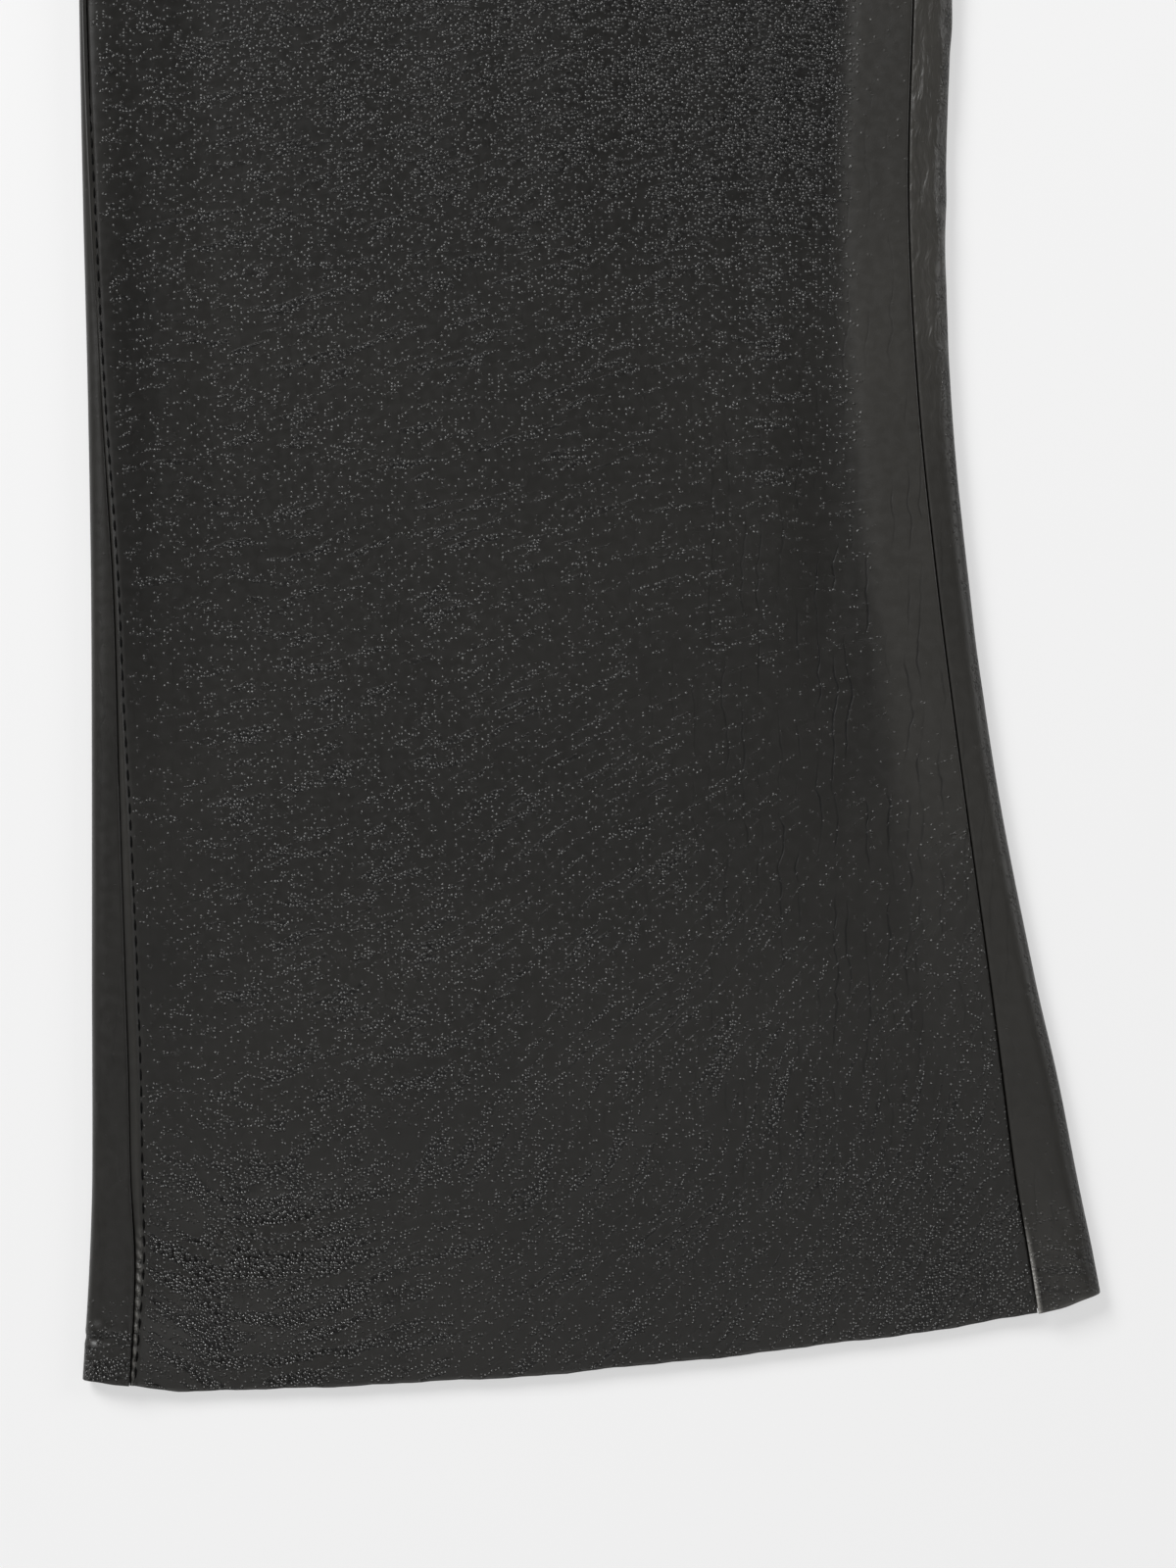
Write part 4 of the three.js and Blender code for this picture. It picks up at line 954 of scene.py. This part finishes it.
def grain_turn(x, y):
    """Slope of the rows of grain, in degrees: down beside the inseam's foot, then up, and steeper towards
    the outseam and the hem."""
    low = 1.0 - smooth(-395.0, -300.0, y)
    foot = (1.0 - smooth(-478.0, -440.0, y)) * (1.0 - smooth(58.0, 96.0, x))
    turn = 6.0 - 32.0 * foot + 10.0 * smooth(60.0, 100.0, x) + low * 24.0 * smooth(115.0, 150.0, x)
    return turn + low * 16.0 * smooth(170.0, 212.0, x) - (1.0 - low) * 20.0 * smooth(185.0, 215.0, x)


def front_masks(leg, x, y, nominal, sweep):
    pebble = np.full_like(x, BASE_PEBBLE)
    rows = np.full_like(x, BASE_ROWS)
    gather = np.full_like(x, BASE_GATHER)
    painted_light = np.ones_like(x)
    for patch in GRAIN_PATCHES:
        near = near_patch(patch, x, y)
        pebble += patch["pebble"] * near
        rows += patch["rows"] * near
        gather += patch["gather"] * near
        painted_light += patch["painted_light"] * near
    from_end = front_end(y) - x
    above = smooth(ALLOWANCE_END_LOW - 60.0, ALLOWANCE_END_HIGH, y)
    on_band = above * (1.0 - smooth(BAND_SMOOTH - 6.0, BAND_SMOOTH + 2.0, from_end))
    from_seam = x - seam_in(y)
    line = stitch_distance(y)
    rope = 1.0 - smooth(ROPE_TOP - 10.0, ROPE_TOP + 6.0, y)
    strand = rope_strands(y, from_seam) ** 2
    piping = np.exp(-((from_seam - 0.6 * line) / (0.36 * line)) ** 2) * joined(y)
    ridge = np.maximum(smooth(2.0, 5.0, from_seam), 0.6 * rope * piping)
    ridge = np.maximum(ridge, 1.0 - joined(y))
    return {
        "pebble": np.maximum(pebble, 0.0) * (1.0 - 0.85 * on_band) * (0.2 + 0.8 * ridge),
        "rows": np.maximum(rows, 0.0) * (1.0 - on_band) * ridge,
        "gather": np.maximum(gather, 0.0) * (1.0 - on_band) * ridge,
        "wrinkle": (BASE_WRINKLE + near_patch(SMOOTH_PATCH, x, y)) * ridge,
        "crumple": 0.0 * x,
        "sweep": sweep,
        # Painted light and shade: the patches' light measure, a painted sheen on the seam band and a painted
        # highlight on the ridge at the inseam's foot; the pale mix is that highlight and, at the hem, partly the raw
        # edge's own lighter colour.
        "painted_light": painted_light + BAND_PAINTED_SHEEN * on_band + PIPING_PAINTED_HIGHLIGHT * piping * (1.0 + 2.0 * rope * strand),
        "cut": 0.06 * np.exp(-(nominal - HEM_LOW_Y) / 0.4) + ROPE_PAINTED_HIGHLIGHT * rope * piping * strand,
    }


EDGE_IN = stations(0.0, [(0.6, 0.2), (4.4, 0.32), (7.0, 0.65), (12.0, 1.25), (26.0, 2.0)])
EDGE_OUT = stations(0.0, [(0.6, 0.2), (1.6, 0.34), (4.0, 0.8), (20.0, 1.6), (46.0, 1.9)])
MIDDLE_COLUMNS = {1: 64, -1: 44}


def front_grid(leg):
    nominal = stations(HEM_LOW_Y, ROWS[leg])[:, None]
    middle = np.linspace(0.0, 1.0, MIDDLE_COLUMNS[leg] + 1)[None, 1:-1]
    columns = len(EDGE_IN) + middle.size + len(EDGE_OUT)
    y = np.repeat(nominal, columns, axis=1)
    for _ in range(SETTLING_ROUNDS):
        start, end = front_start(leg, y), front_end(y)
        left = start[:, :len(EDGE_IN)] + EDGE_IN
        right = end[:, -len(EDGE_OUT):] - EDGE_OUT[::-1]
        between = slice(len(EDGE_IN), columns - len(EDGE_OUT))
        centre = mix(start[:, between] + EDGE_IN[-1], end[:, between] - EDGE_OUT[-1], middle)
        x = np.concatenate([left, centre, right], axis=1)
        y = row_height(nominal, across_leg(x, y), -FRONT_WAIST_DIP, 0.0)
    near_hem = np.exp(-(nominal - HEM_LOW_Y) / 6.0)
    y = y + near_hem * hem_wander(x, 5.0 + leg)
    z = front_surface(leg, x, y)
    worn = front_worn(leg, x, y) + rounded_edge(nominal - HEM_LOW_Y, EDGE_ROUND, EDGE_DROP)
    slope = np.tan(np.radians(grain_turn(x, y)))
    rise = np.concatenate([np.zeros((len(nominal), 1)),
                           np.cumsum(np.diff(x, axis=1) * (slope[:, 1:] + slope[:, :-1]) / 2, axis=1)], axis=1)
    grain = np.stack([x + 600.0 * (leg < 0), y], axis=2)
    return np.stack([leg * x, y, z], axis=2), worn, grain, front_masks(leg, x, y, nominal, rise)


fronts = {}
for leg, wearer_side in ((1, "left"), (-1, "right")):
    points, worn, grain, masks = front_grid(leg)
    fronts[leg] = leather_shell(f"trouser_front_{wearer_side}", points, worn, LEATHER, leg, grain, masks)
    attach(fronts[leg], "root")
    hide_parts(f"front_{wearer_side}")

# Inseam topstitching
# One row of waxed black thread down each leg, about 4.1 mm a stitch, sunk in its groove on the front.
THREAD_RADIUS = 0.25
STITCH_LENGTH = 3.35
STITCH_SIDES = 6
STITCH_RINGS = 6


def waxed_thread():
    finish, tree, shader = new_finish("black_waxed_thread")
    place = add_node(tree, "ShaderNodeTexCoord").outputs["Object"]
    twist = add_node(tree, "ShaderNodeTexWave", {
        "Vector": place, "Scale": 900.0, "Distortion": 1.5, "Detail": 1.0,
    }, wave_type="BANDS", bands_direction="DIAGONAL")
    shade = add_node(tree, "ShaderNodeMix", {
        "Factor": twist.outputs["Fac"], "A": (0.001, 0.001, 0.001, 1.0), "B": (0.004, 0.004, 0.004, 1.0),
    }, data_type="RGBA")
    bump = add_node(tree, "ShaderNodeBump", {
        "Height": twist.outputs["Fac"], "Strength": 0.6, "Distance": 0.06 * MM,
    })
    tree.links.new(shade.outputs["Result"], shader.inputs["Base Color"])
    tree.links.new(bump.outputs["Normal"], shader.inputs["Normal"])
    shader.inputs["Roughness"].default_value = 0.55
    shader.inputs["Specular IOR Level"].default_value = 0.08
    return finish


thread = waxed_thread()


def sewing(name, lines, radius=THREAD_RADIUS, length=STITCH_LENGTH, pitch=STITCH_PITCH):
    """Stitches along lines. Each line is its points and facings in millimetres, and each stitch is a short
    closed thread that rises out of the leather and dips back into it."""
    middles, facings = [], []
    for points, facing in lines:
        walked = np.concatenate([[0.0], np.cumsum(np.linalg.norm(np.diff(points, axis=0), axis=1))])
        starts = np.arange(pitch * 0.4, walked[-1] - length, pitch)
        at = starts[:, None] + np.linspace(0.0, length, STITCH_RINGS)[None, :]
        middles.append(np.stack([np.interp(at, walked, points[:, k]) for k in range(3)], axis=2))
        facings.append(np.stack([np.interp(at, walked, facing[:, k]) for k in range(3)], axis=2))
    middle, facing = np.concatenate(middles), np.concatenate(facings)
    bow = np.sin(np.linspace(0.0, np.pi, STITCH_RINGS)) ** 0.6
    middle = middle + facing * (bow * 1.3 - 0.85)[None, :, None] * radius
    way = np.gradient(middle, axis=1)
    way /= np.linalg.norm(way, axis=2, keepdims=True)
    aside = np.cross(way, facing)
    aside /= np.linalg.norm(aside, axis=2, keepdims=True)
    up = np.cross(aside, way)
    turns = np.arange(STITCH_SIDES) / STITCH_SIDES * 2.0 * np.pi
    thick = radius * (0.55 + 0.45 * bow)[None, :, None, None]
    ring = (aside[:, :, None, :] * np.cos(turns)[None, None, :, None]
            + up[:, :, None, :] * np.sin(turns)[None, None, :, None])
    points = (middle[:, :, None, :] + ring * thick).reshape(-1, 3) * MM
    faces = []
    for r in range(STITCH_RINGS - 1):
        for s in range(STITCH_SIDES):
            t = (s + 1) % STITCH_SIDES
            a, b = r * STITCH_SIDES, (r + 1) * STITCH_SIDES
            faces.append((a + s, a + t, b + t, b + s))
    ends = [tuple(reversed(range(STITCH_SIDES))), tuple(range((STITCH_RINGS - 1) * STITCH_SIDES,
            STITCH_RINGS * STITCH_SIDES))]
    step = STITCH_RINGS * STITCH_SIDES
    all_faces = [tuple(v + k * step for v in face) for k in range(len(middle)) for face in faces + ends]
    mesh = bpy.data.meshes.new(name)
    mesh.from_pydata(points.tolist(), [], all_faces)
    mesh.update()
    mesh.materials.append(thread)
    piece = bpy.data.objects.new(name, mesh)
    bpy.context.scene.collection.objects.link(piece)
    drop_selection()
    piece.select_set(True)
    bpy.context.view_layer.objects.active = piece
    bpy.ops.object.shade_smooth_by_angle(angle=math.radians(60.0))
    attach(piece, "root")
    return piece


def line_on(surface, leg, x, y):
    """Points of a sewn line on a surface with the way that the leather faces there."""
    z = surface(leg, x, y)
    tilt_x = surface(leg, x + 0.1, y) - surface(leg, x - 0.1, y)
    tilt_y = surface(leg, x, y + 0.1) - surface(leg, x, y - 0.1)
    facing = np.stack([-leg * tilt_x / 0.2, -tilt_y / 0.2, np.ones_like(z)], axis=1)
    facing /= np.linalg.norm(facing, axis=1, keepdims=True)
    return np.stack([leg * x, y, z], axis=1), facing


def worn_front(leg, x, y):
    return front_surface(leg, x, y) - front_worn(leg, x, y)


for leg, wearer_side in ((1, "left"), (-1, "right")):
    along_leg = np.arange(HEM_LOW_Y + 1.5, CROTCH_Y - CROTCH_BELOW, 0.8)
    line = line_on(worn_front, leg, seam_in(along_leg) + stitch_distance(along_leg), along_leg)
    sewing(f"inseam_stitches_{wearer_side}", [line])

# Fly stitching
# The line that holds the zip's shield behind the left front: straight down from the waistband, then
# round to the centre seam. Below it the two fronts are joined by a plain seam.
FLY_LINE_X = 30.0
FLY_TURN_Y = 336.0
FLY_FOOT_Y = 303.0
FLY_LINE_TOP = 461.0
fly_down = np.arange(FLY_LINE_TOP, FLY_TURN_Y, -0.8)
fly_round = np.linspace(0.0, np.pi / 2, 60)
fly_start = -FLY_LAP + 2.0
fly_x = np.concatenate([0.0 * fly_down + FLY_LINE_X, mix(fly_start, FLY_LINE_X, np.cos(fly_round))])
fly_y = np.concatenate([fly_down, mix(FLY_TURN_Y, FLY_FOOT_Y, np.sin(fly_round))])
fly_thread = sewing("fly_stitches", [line_on(worn_front, 1, fly_x, fly_y)])

# Waistband
# A straight strip of leather folded along its top edge, 40 mm wide and 2 mm thick, in three lengths: round
# the back, the left front with the button's tab, and the right front that ends under the tab. Edge-stitched.
BAND_LEATHER = 2.0
BAND_HEIGHT = 40.0
BAND_TOP = 4.6
TAB_REACH = 32.0
TAB_LIFT = BAND_LEATHER + SEAM_GAP + 0.1
UNDERLAP_START = 2.0
BAND_ROUND = 0.9
BAND_DROP = 0.7
BAND_STITCH_IN = 2.2
BAND_UPS = stations(SEAM_GAP, [(1.3, 0.14), (38.7 + SEAM_GAP, 1.3), (BAND_HEIGHT + SEAM_GAP, 0.14)])[:, None]
BAND_EDGE = stations(0.0, [(1.0, 0.14), (6.0, 0.8)])
BAND_WAVES = [
    {"length": 61.0, "size": 0.10, "start": 0.4},
    {"length": 23.0, "size": 0.06, "start": 1.9},
]


def band_start(leg):
    return -TAB_REACH if leg > 0 else UNDERLAP_START


def waist_height(x, up, dip):
    """Height along the body of a place on the waistband, on its dipped front or raised back."""
    share = np.clip(np.abs(x) / outer_edge(WAIST_SEAM_Y + up), 0.0, 1.0)
    return WAIST_SEAM_Y + up + dip * (1.0 - share ** 1.5)


def band_surface(leg, x, y):
    """Height of the front waistband's upper side: it rises to the side seam, and the tab over the other."""
    fold = fold_out(y)
    near_out = 1.0 - smooth(0.0, FOLD_FALL, outer_edge(y) - FOLD_SHAPE * fold - x)
    z = mix(BAND_TOP, fold, near_out)
    for wave in BAND_WAVES:
        calm = smooth(8.0, 24.0, x) * smooth(6.0, 20.0, outer_edge(y) - x)
        z = z + wave["size"] * np.sin(2.0 * np.pi * x / wave["length"] + wave["start"] + leg) * calm
    return z + (TAB_LIFT * (1.0 - smooth(LAP_FLAT, LAP_SLOPE, x)) if leg > 0 else 0.0)


def band_masks(x):
    levels = {"pebble": 0.4, "rows": 0.4, "gather": 0.2, "wrinkle": 0.1, "painted_light": 1.0}
    levels.update({"crumple": 0.0, "sweep": 0.0, "cut": 0.0})
    return {name: 0.0 * x + level for name, level in levels.items()}


def stitch_trough(away):
    return 0.14 * np.exp(-(away / 0.5) ** 2)


def band_front(leg, wearer_side):
    outer = outer_edge(WAIST_SEAM_Y + BAND_UPS)
    start, end = band_start(leg), outer - roll_out(WAIST_SEAM_Y) - HALF_GAP
    middle = np.linspace(0.0, 1.0, 90)[None, 1:-1]
    centre = mix(start + BAND_EDGE[-1], end - BAND_EDGE[-1], middle)
    x = np.concatenate([start + BAND_EDGE + 0.0 * outer, centre, end - BAND_EDGE[::-1]], axis=1)
    y = waist_height(x, BAND_UPS, -FRONT_WAIST_DIP)
    points = np.stack([leg * x, y, band_surface(leg, x, y)], axis=2)
    up, down = BAND_UPS - SEAM_GAP, BAND_HEIGHT + SEAM_GAP - BAND_UPS
    edge = np.minimum(np.minimum(up, down), np.minimum(x - start, end - x))
    worn = rounded_edge(edge, BAND_ROUND, BAND_DROP) + stitch_trough(edge - BAND_STITCH_IN)
    grain = np.stack([x + 900.0, y + 40.0 * leg], axis=2)
    piece = leather_shell(f"waistband_{wearer_side}", points, worn, BAND_LEATHER, leg, grain, band_masks(x),
                          folded=True)
    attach(piece, "root")
    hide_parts(f"waistband_front_{wearer_side}")
    return piece


def band_line(leg):
    """The row of stitches round the front waistband, a little inside its edges."""
    end = float(outer_edge(WAIST_SEAM_Y)) - roll_out(WAIST_SEAM_Y) - HALF_GAP
    low, high = SEAM_GAP + BAND_STITCH_IN, BAND_HEIGHT + SEAM_GAP - BAND_STITCH_IN
    out = np.arange(end - 0.8, band_start(leg) + BAND_STITCH_IN, -0.8)
    rise = np.arange(low, high, 0.8)
    x = np.concatenate([out, 0.0 * rise + out[-1], out[::-1]])
    up = np.concatenate([0.0 * out + low, rise, 0.0 * out + high])
    x = np.minimum(x, outer_edge(WAIST_SEAM_Y + up) - roll_out(WAIST_SEAM_Y) - HALF_GAP - 0.8)
    return line_on(band_surface, leg, x, waist_height(x, up, -FRONT_WAIST_DIP))


BAND_FOLD_SHARES = np.concatenate([[0.0, 0.02, 0.05, 0.09], np.linspace(0.13, 1.0, 26)])
BAND_BACK_COLUMNS = 120


def band_back_grid():
    outer = outer_edge(WAIST_SEAM_Y + BAND_UPS)
    height = float(fold_out(WAIST_SEAM_Y))
    start = float(roll_out(WAIST_SEAM_Y)) - HALF_GAP
    x_out, z_out, _ = fold_path(outer, -1.0, start, height, 1.0, BAND_FOLD_SHARES[None, ::-1])
    middle = x_out[:, :1] * np.linspace(-1.0, 1.0, BAND_BACK_COLUMNS)[None, 1:-1]
    z_out = z_out + 0.0 * x_out
    x = np.concatenate([-x_out[:, ::-1], middle, x_out], axis=1)
    z = np.concatenate([z_out[:, ::-1], 0.0 * middle, z_out], axis=1)
    shift = np.where(z > height / 2, -FRONT_WAIST_DIP, BACK_WAIST_RISE)
    y = waist_height(x, BAND_UPS, shift)
    up, down = BAND_UPS - SEAM_GAP, BAND_HEIGHT + SEAM_GAP - BAND_UPS
    worn = rounded_edge(np.minimum(up, down) + 0.0 * x, BAND_ROUND, BAND_DROP) * smooth(0.0, 1.0, down + 0.0 * x + z)
    return np.stack([x, y, z], axis=2), worn, np.stack([x + 1400.0, y], axis=2), band_masks(x)


band_left = band_front(1, "left")
band_right = band_front(-1, "right")
points, worn, grain, masks = band_back_grid()
band_back = leather_shell("waistband_back_strip", points, worn, BAND_LEATHER, -1, grain, masks, folded=True)
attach(band_back, "root")
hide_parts("waistband_back")

band_thread_left = sewing("waistband_stitches_left", [band_line(1)])
band_thread_right = sewing("waistband_stitches_right", [band_line(-1)])
inside_x = np.arange(-196.0, 196.0, 0.8)
inside_up = BAND_HEIGHT + SEAM_GAP - BAND_STITCH_IN
inside_line = line_on(lambda leg, x, y: 0.0 * x + BAND_LEATHER, 1, inside_x,
                      waist_height(inside_x, inside_up, BACK_WAIST_RISE))
band_thread_back = sewing("waistband_stitches_back", [inside_line])

# Waist button
# A plain turned black button, 17 mm across, with a raised rim, a dished middle and four sewing holes. It
# stands through the tab's buttonhole and is sewn with waxed thread.
BUTTON_PLACE = (-TAB_REACH / 2, WAIST_SEAM_Y - FRONT_WAIST_DIP + BAND_HEIGHT / 2, BAND_TOP + TAB_LIFT + SEAM_GAP)
BUTTON_RADIUS = 8.5
BUTTON_HEIGHT = 2.7
BUTTON_RIM = 1.4
BUTTON_DISH = 0.8
BUTTON_BEVEL = 0.32
HOLE_RADIUS = 1.0
HOLE_PLACE = 1.9
button_centre = Vector(BUTTON_PLACE) + Vector((0.0, 0.0, BUTTON_HEIGHT / 2))


def polished_button():
    finish, tree, shader = new_finish("polished_black_button")
    place = add_node(tree, "ShaderNodeTexCoord").outputs["Object"]
    cloud = noise(tree, place, 340.0, 4.0).outputs["Fac"]
    shade = add_node(tree, "ShaderNodeMix", {
        "Factor": cloud, "A": (0.007, 0.007, 0.007, 1.0), "B": (0.017, 0.016, 0.015, 1.0),
    }, data_type="RGBA")
    tree.links.new(shade.outputs["Result"], shader.inputs["Base Color"])
    tree.links.new(ramp(tree, cloud, 0.3, 0.7, 0.24, 0.34), shader.inputs["Roughness"])
    return finish


def apply_modifier(piece, name):
    bpy.context.view_layer.objects.active = piece
    bpy.ops.object.modifier_apply(modifier=name)


drop_selection()
bpy.ops.mesh.primitive_cylinder_add(vertices=96, radius=BUTTON_RADIUS * MM, depth=BUTTON_HEIGHT * MM,
                                    location=button_centre * MM)
button = bpy.context.object
button.name = "waist_button_turned"
bpy.ops.object.transform_apply(location=True, rotation=False, scale=False)
for face in button.data.polygons:
    face.select = face.normal.z > 0.9
bpy.ops.object.mode_set(mode="EDIT")
bpy.ops.mesh.select_mode(type="FACE")
bpy.ops.mesh.inset(thickness=BUTTON_RIM * MM, depth=0.0)
bpy.ops.mesh.inset(thickness=BUTTON_DISH * MM, depth=-BUTTON_DISH * MM)
bpy.ops.object.mode_set(mode="OBJECT")
bevel = button.modifiers.new("soft_edges", "BEVEL")
bevel.width = BUTTON_BEVEL * MM
bevel.segments = 4
bevel.limit_method = "ANGLE"
bevel.angle_limit = math.radians(28.0)
apply_modifier(button, "soft_edges")
for right, up in ((1, 1), (1, -1), (-1, 1), (-1, -1)):
    drop_selection()
    hole_centre = button_centre + Vector((right * HOLE_PLACE, up * HOLE_PLACE, 0.0))
    bpy.ops.mesh.primitive_cylinder_add(vertices=24, radius=HOLE_RADIUS * MM, depth=BUTTON_HEIGHT * 2 * MM,
                                        location=hole_centre * MM)
    drill = bpy.context.object
    cut = button.modifiers.new("hole", "BOOLEAN")
    cut.operation = "DIFFERENCE"
    cut.solver = "EXACT"
    cut.object = drill
    apply_modifier(button, "hole")
    bpy.data.objects.remove(drill, do_unlink=True)
button.data.materials.append(polished_button())
drop_selection()
button.select_set(True)
bpy.context.view_layer.objects.active = button
bpy.ops.object.shade_smooth_by_angle(angle=math.radians(35.0))
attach(button, "root")
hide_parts("waist_button")

button_lines = []
for up in (-HOLE_PLACE, HOLE_PLACE):
    for shift in (-0.24, 0.24):
        cross_x = np.linspace(-2.3, 2.3, 24) + BUTTON_PLACE[0]
        cross_y = 0.0 * cross_x + BUTTON_PLACE[1] + up + shift
        dish_level = BUTTON_PLACE[2] + BUTTON_HEIGHT - BUTTON_DISH + 0.1
        points = np.stack([cross_x, cross_y, 0.0 * cross_x + dish_level], axis=1)
        button_lines.append((points, np.tile([0.0, 0.0, 1.0], (24, 1))))
sewing("button_stitches", button_lines, length=3.9, pitch=1.0)

buttonhole_lines = []
for x in np.arange(-TAB_REACH + 4.5, -5.0, 0.75):
    for way in (-1.0, 1.0):
        reach_y = BUTTON_PLACE[1] + way * np.linspace(0.1, 2.6, 12)
        buttonhole_lines.append(line_on(band_surface, 1, 0.0 * reach_y + x, reach_y))
sewing("buttonhole_stitches", buttonhole_lines, radius=0.3, length=1.9, pitch=1.0)
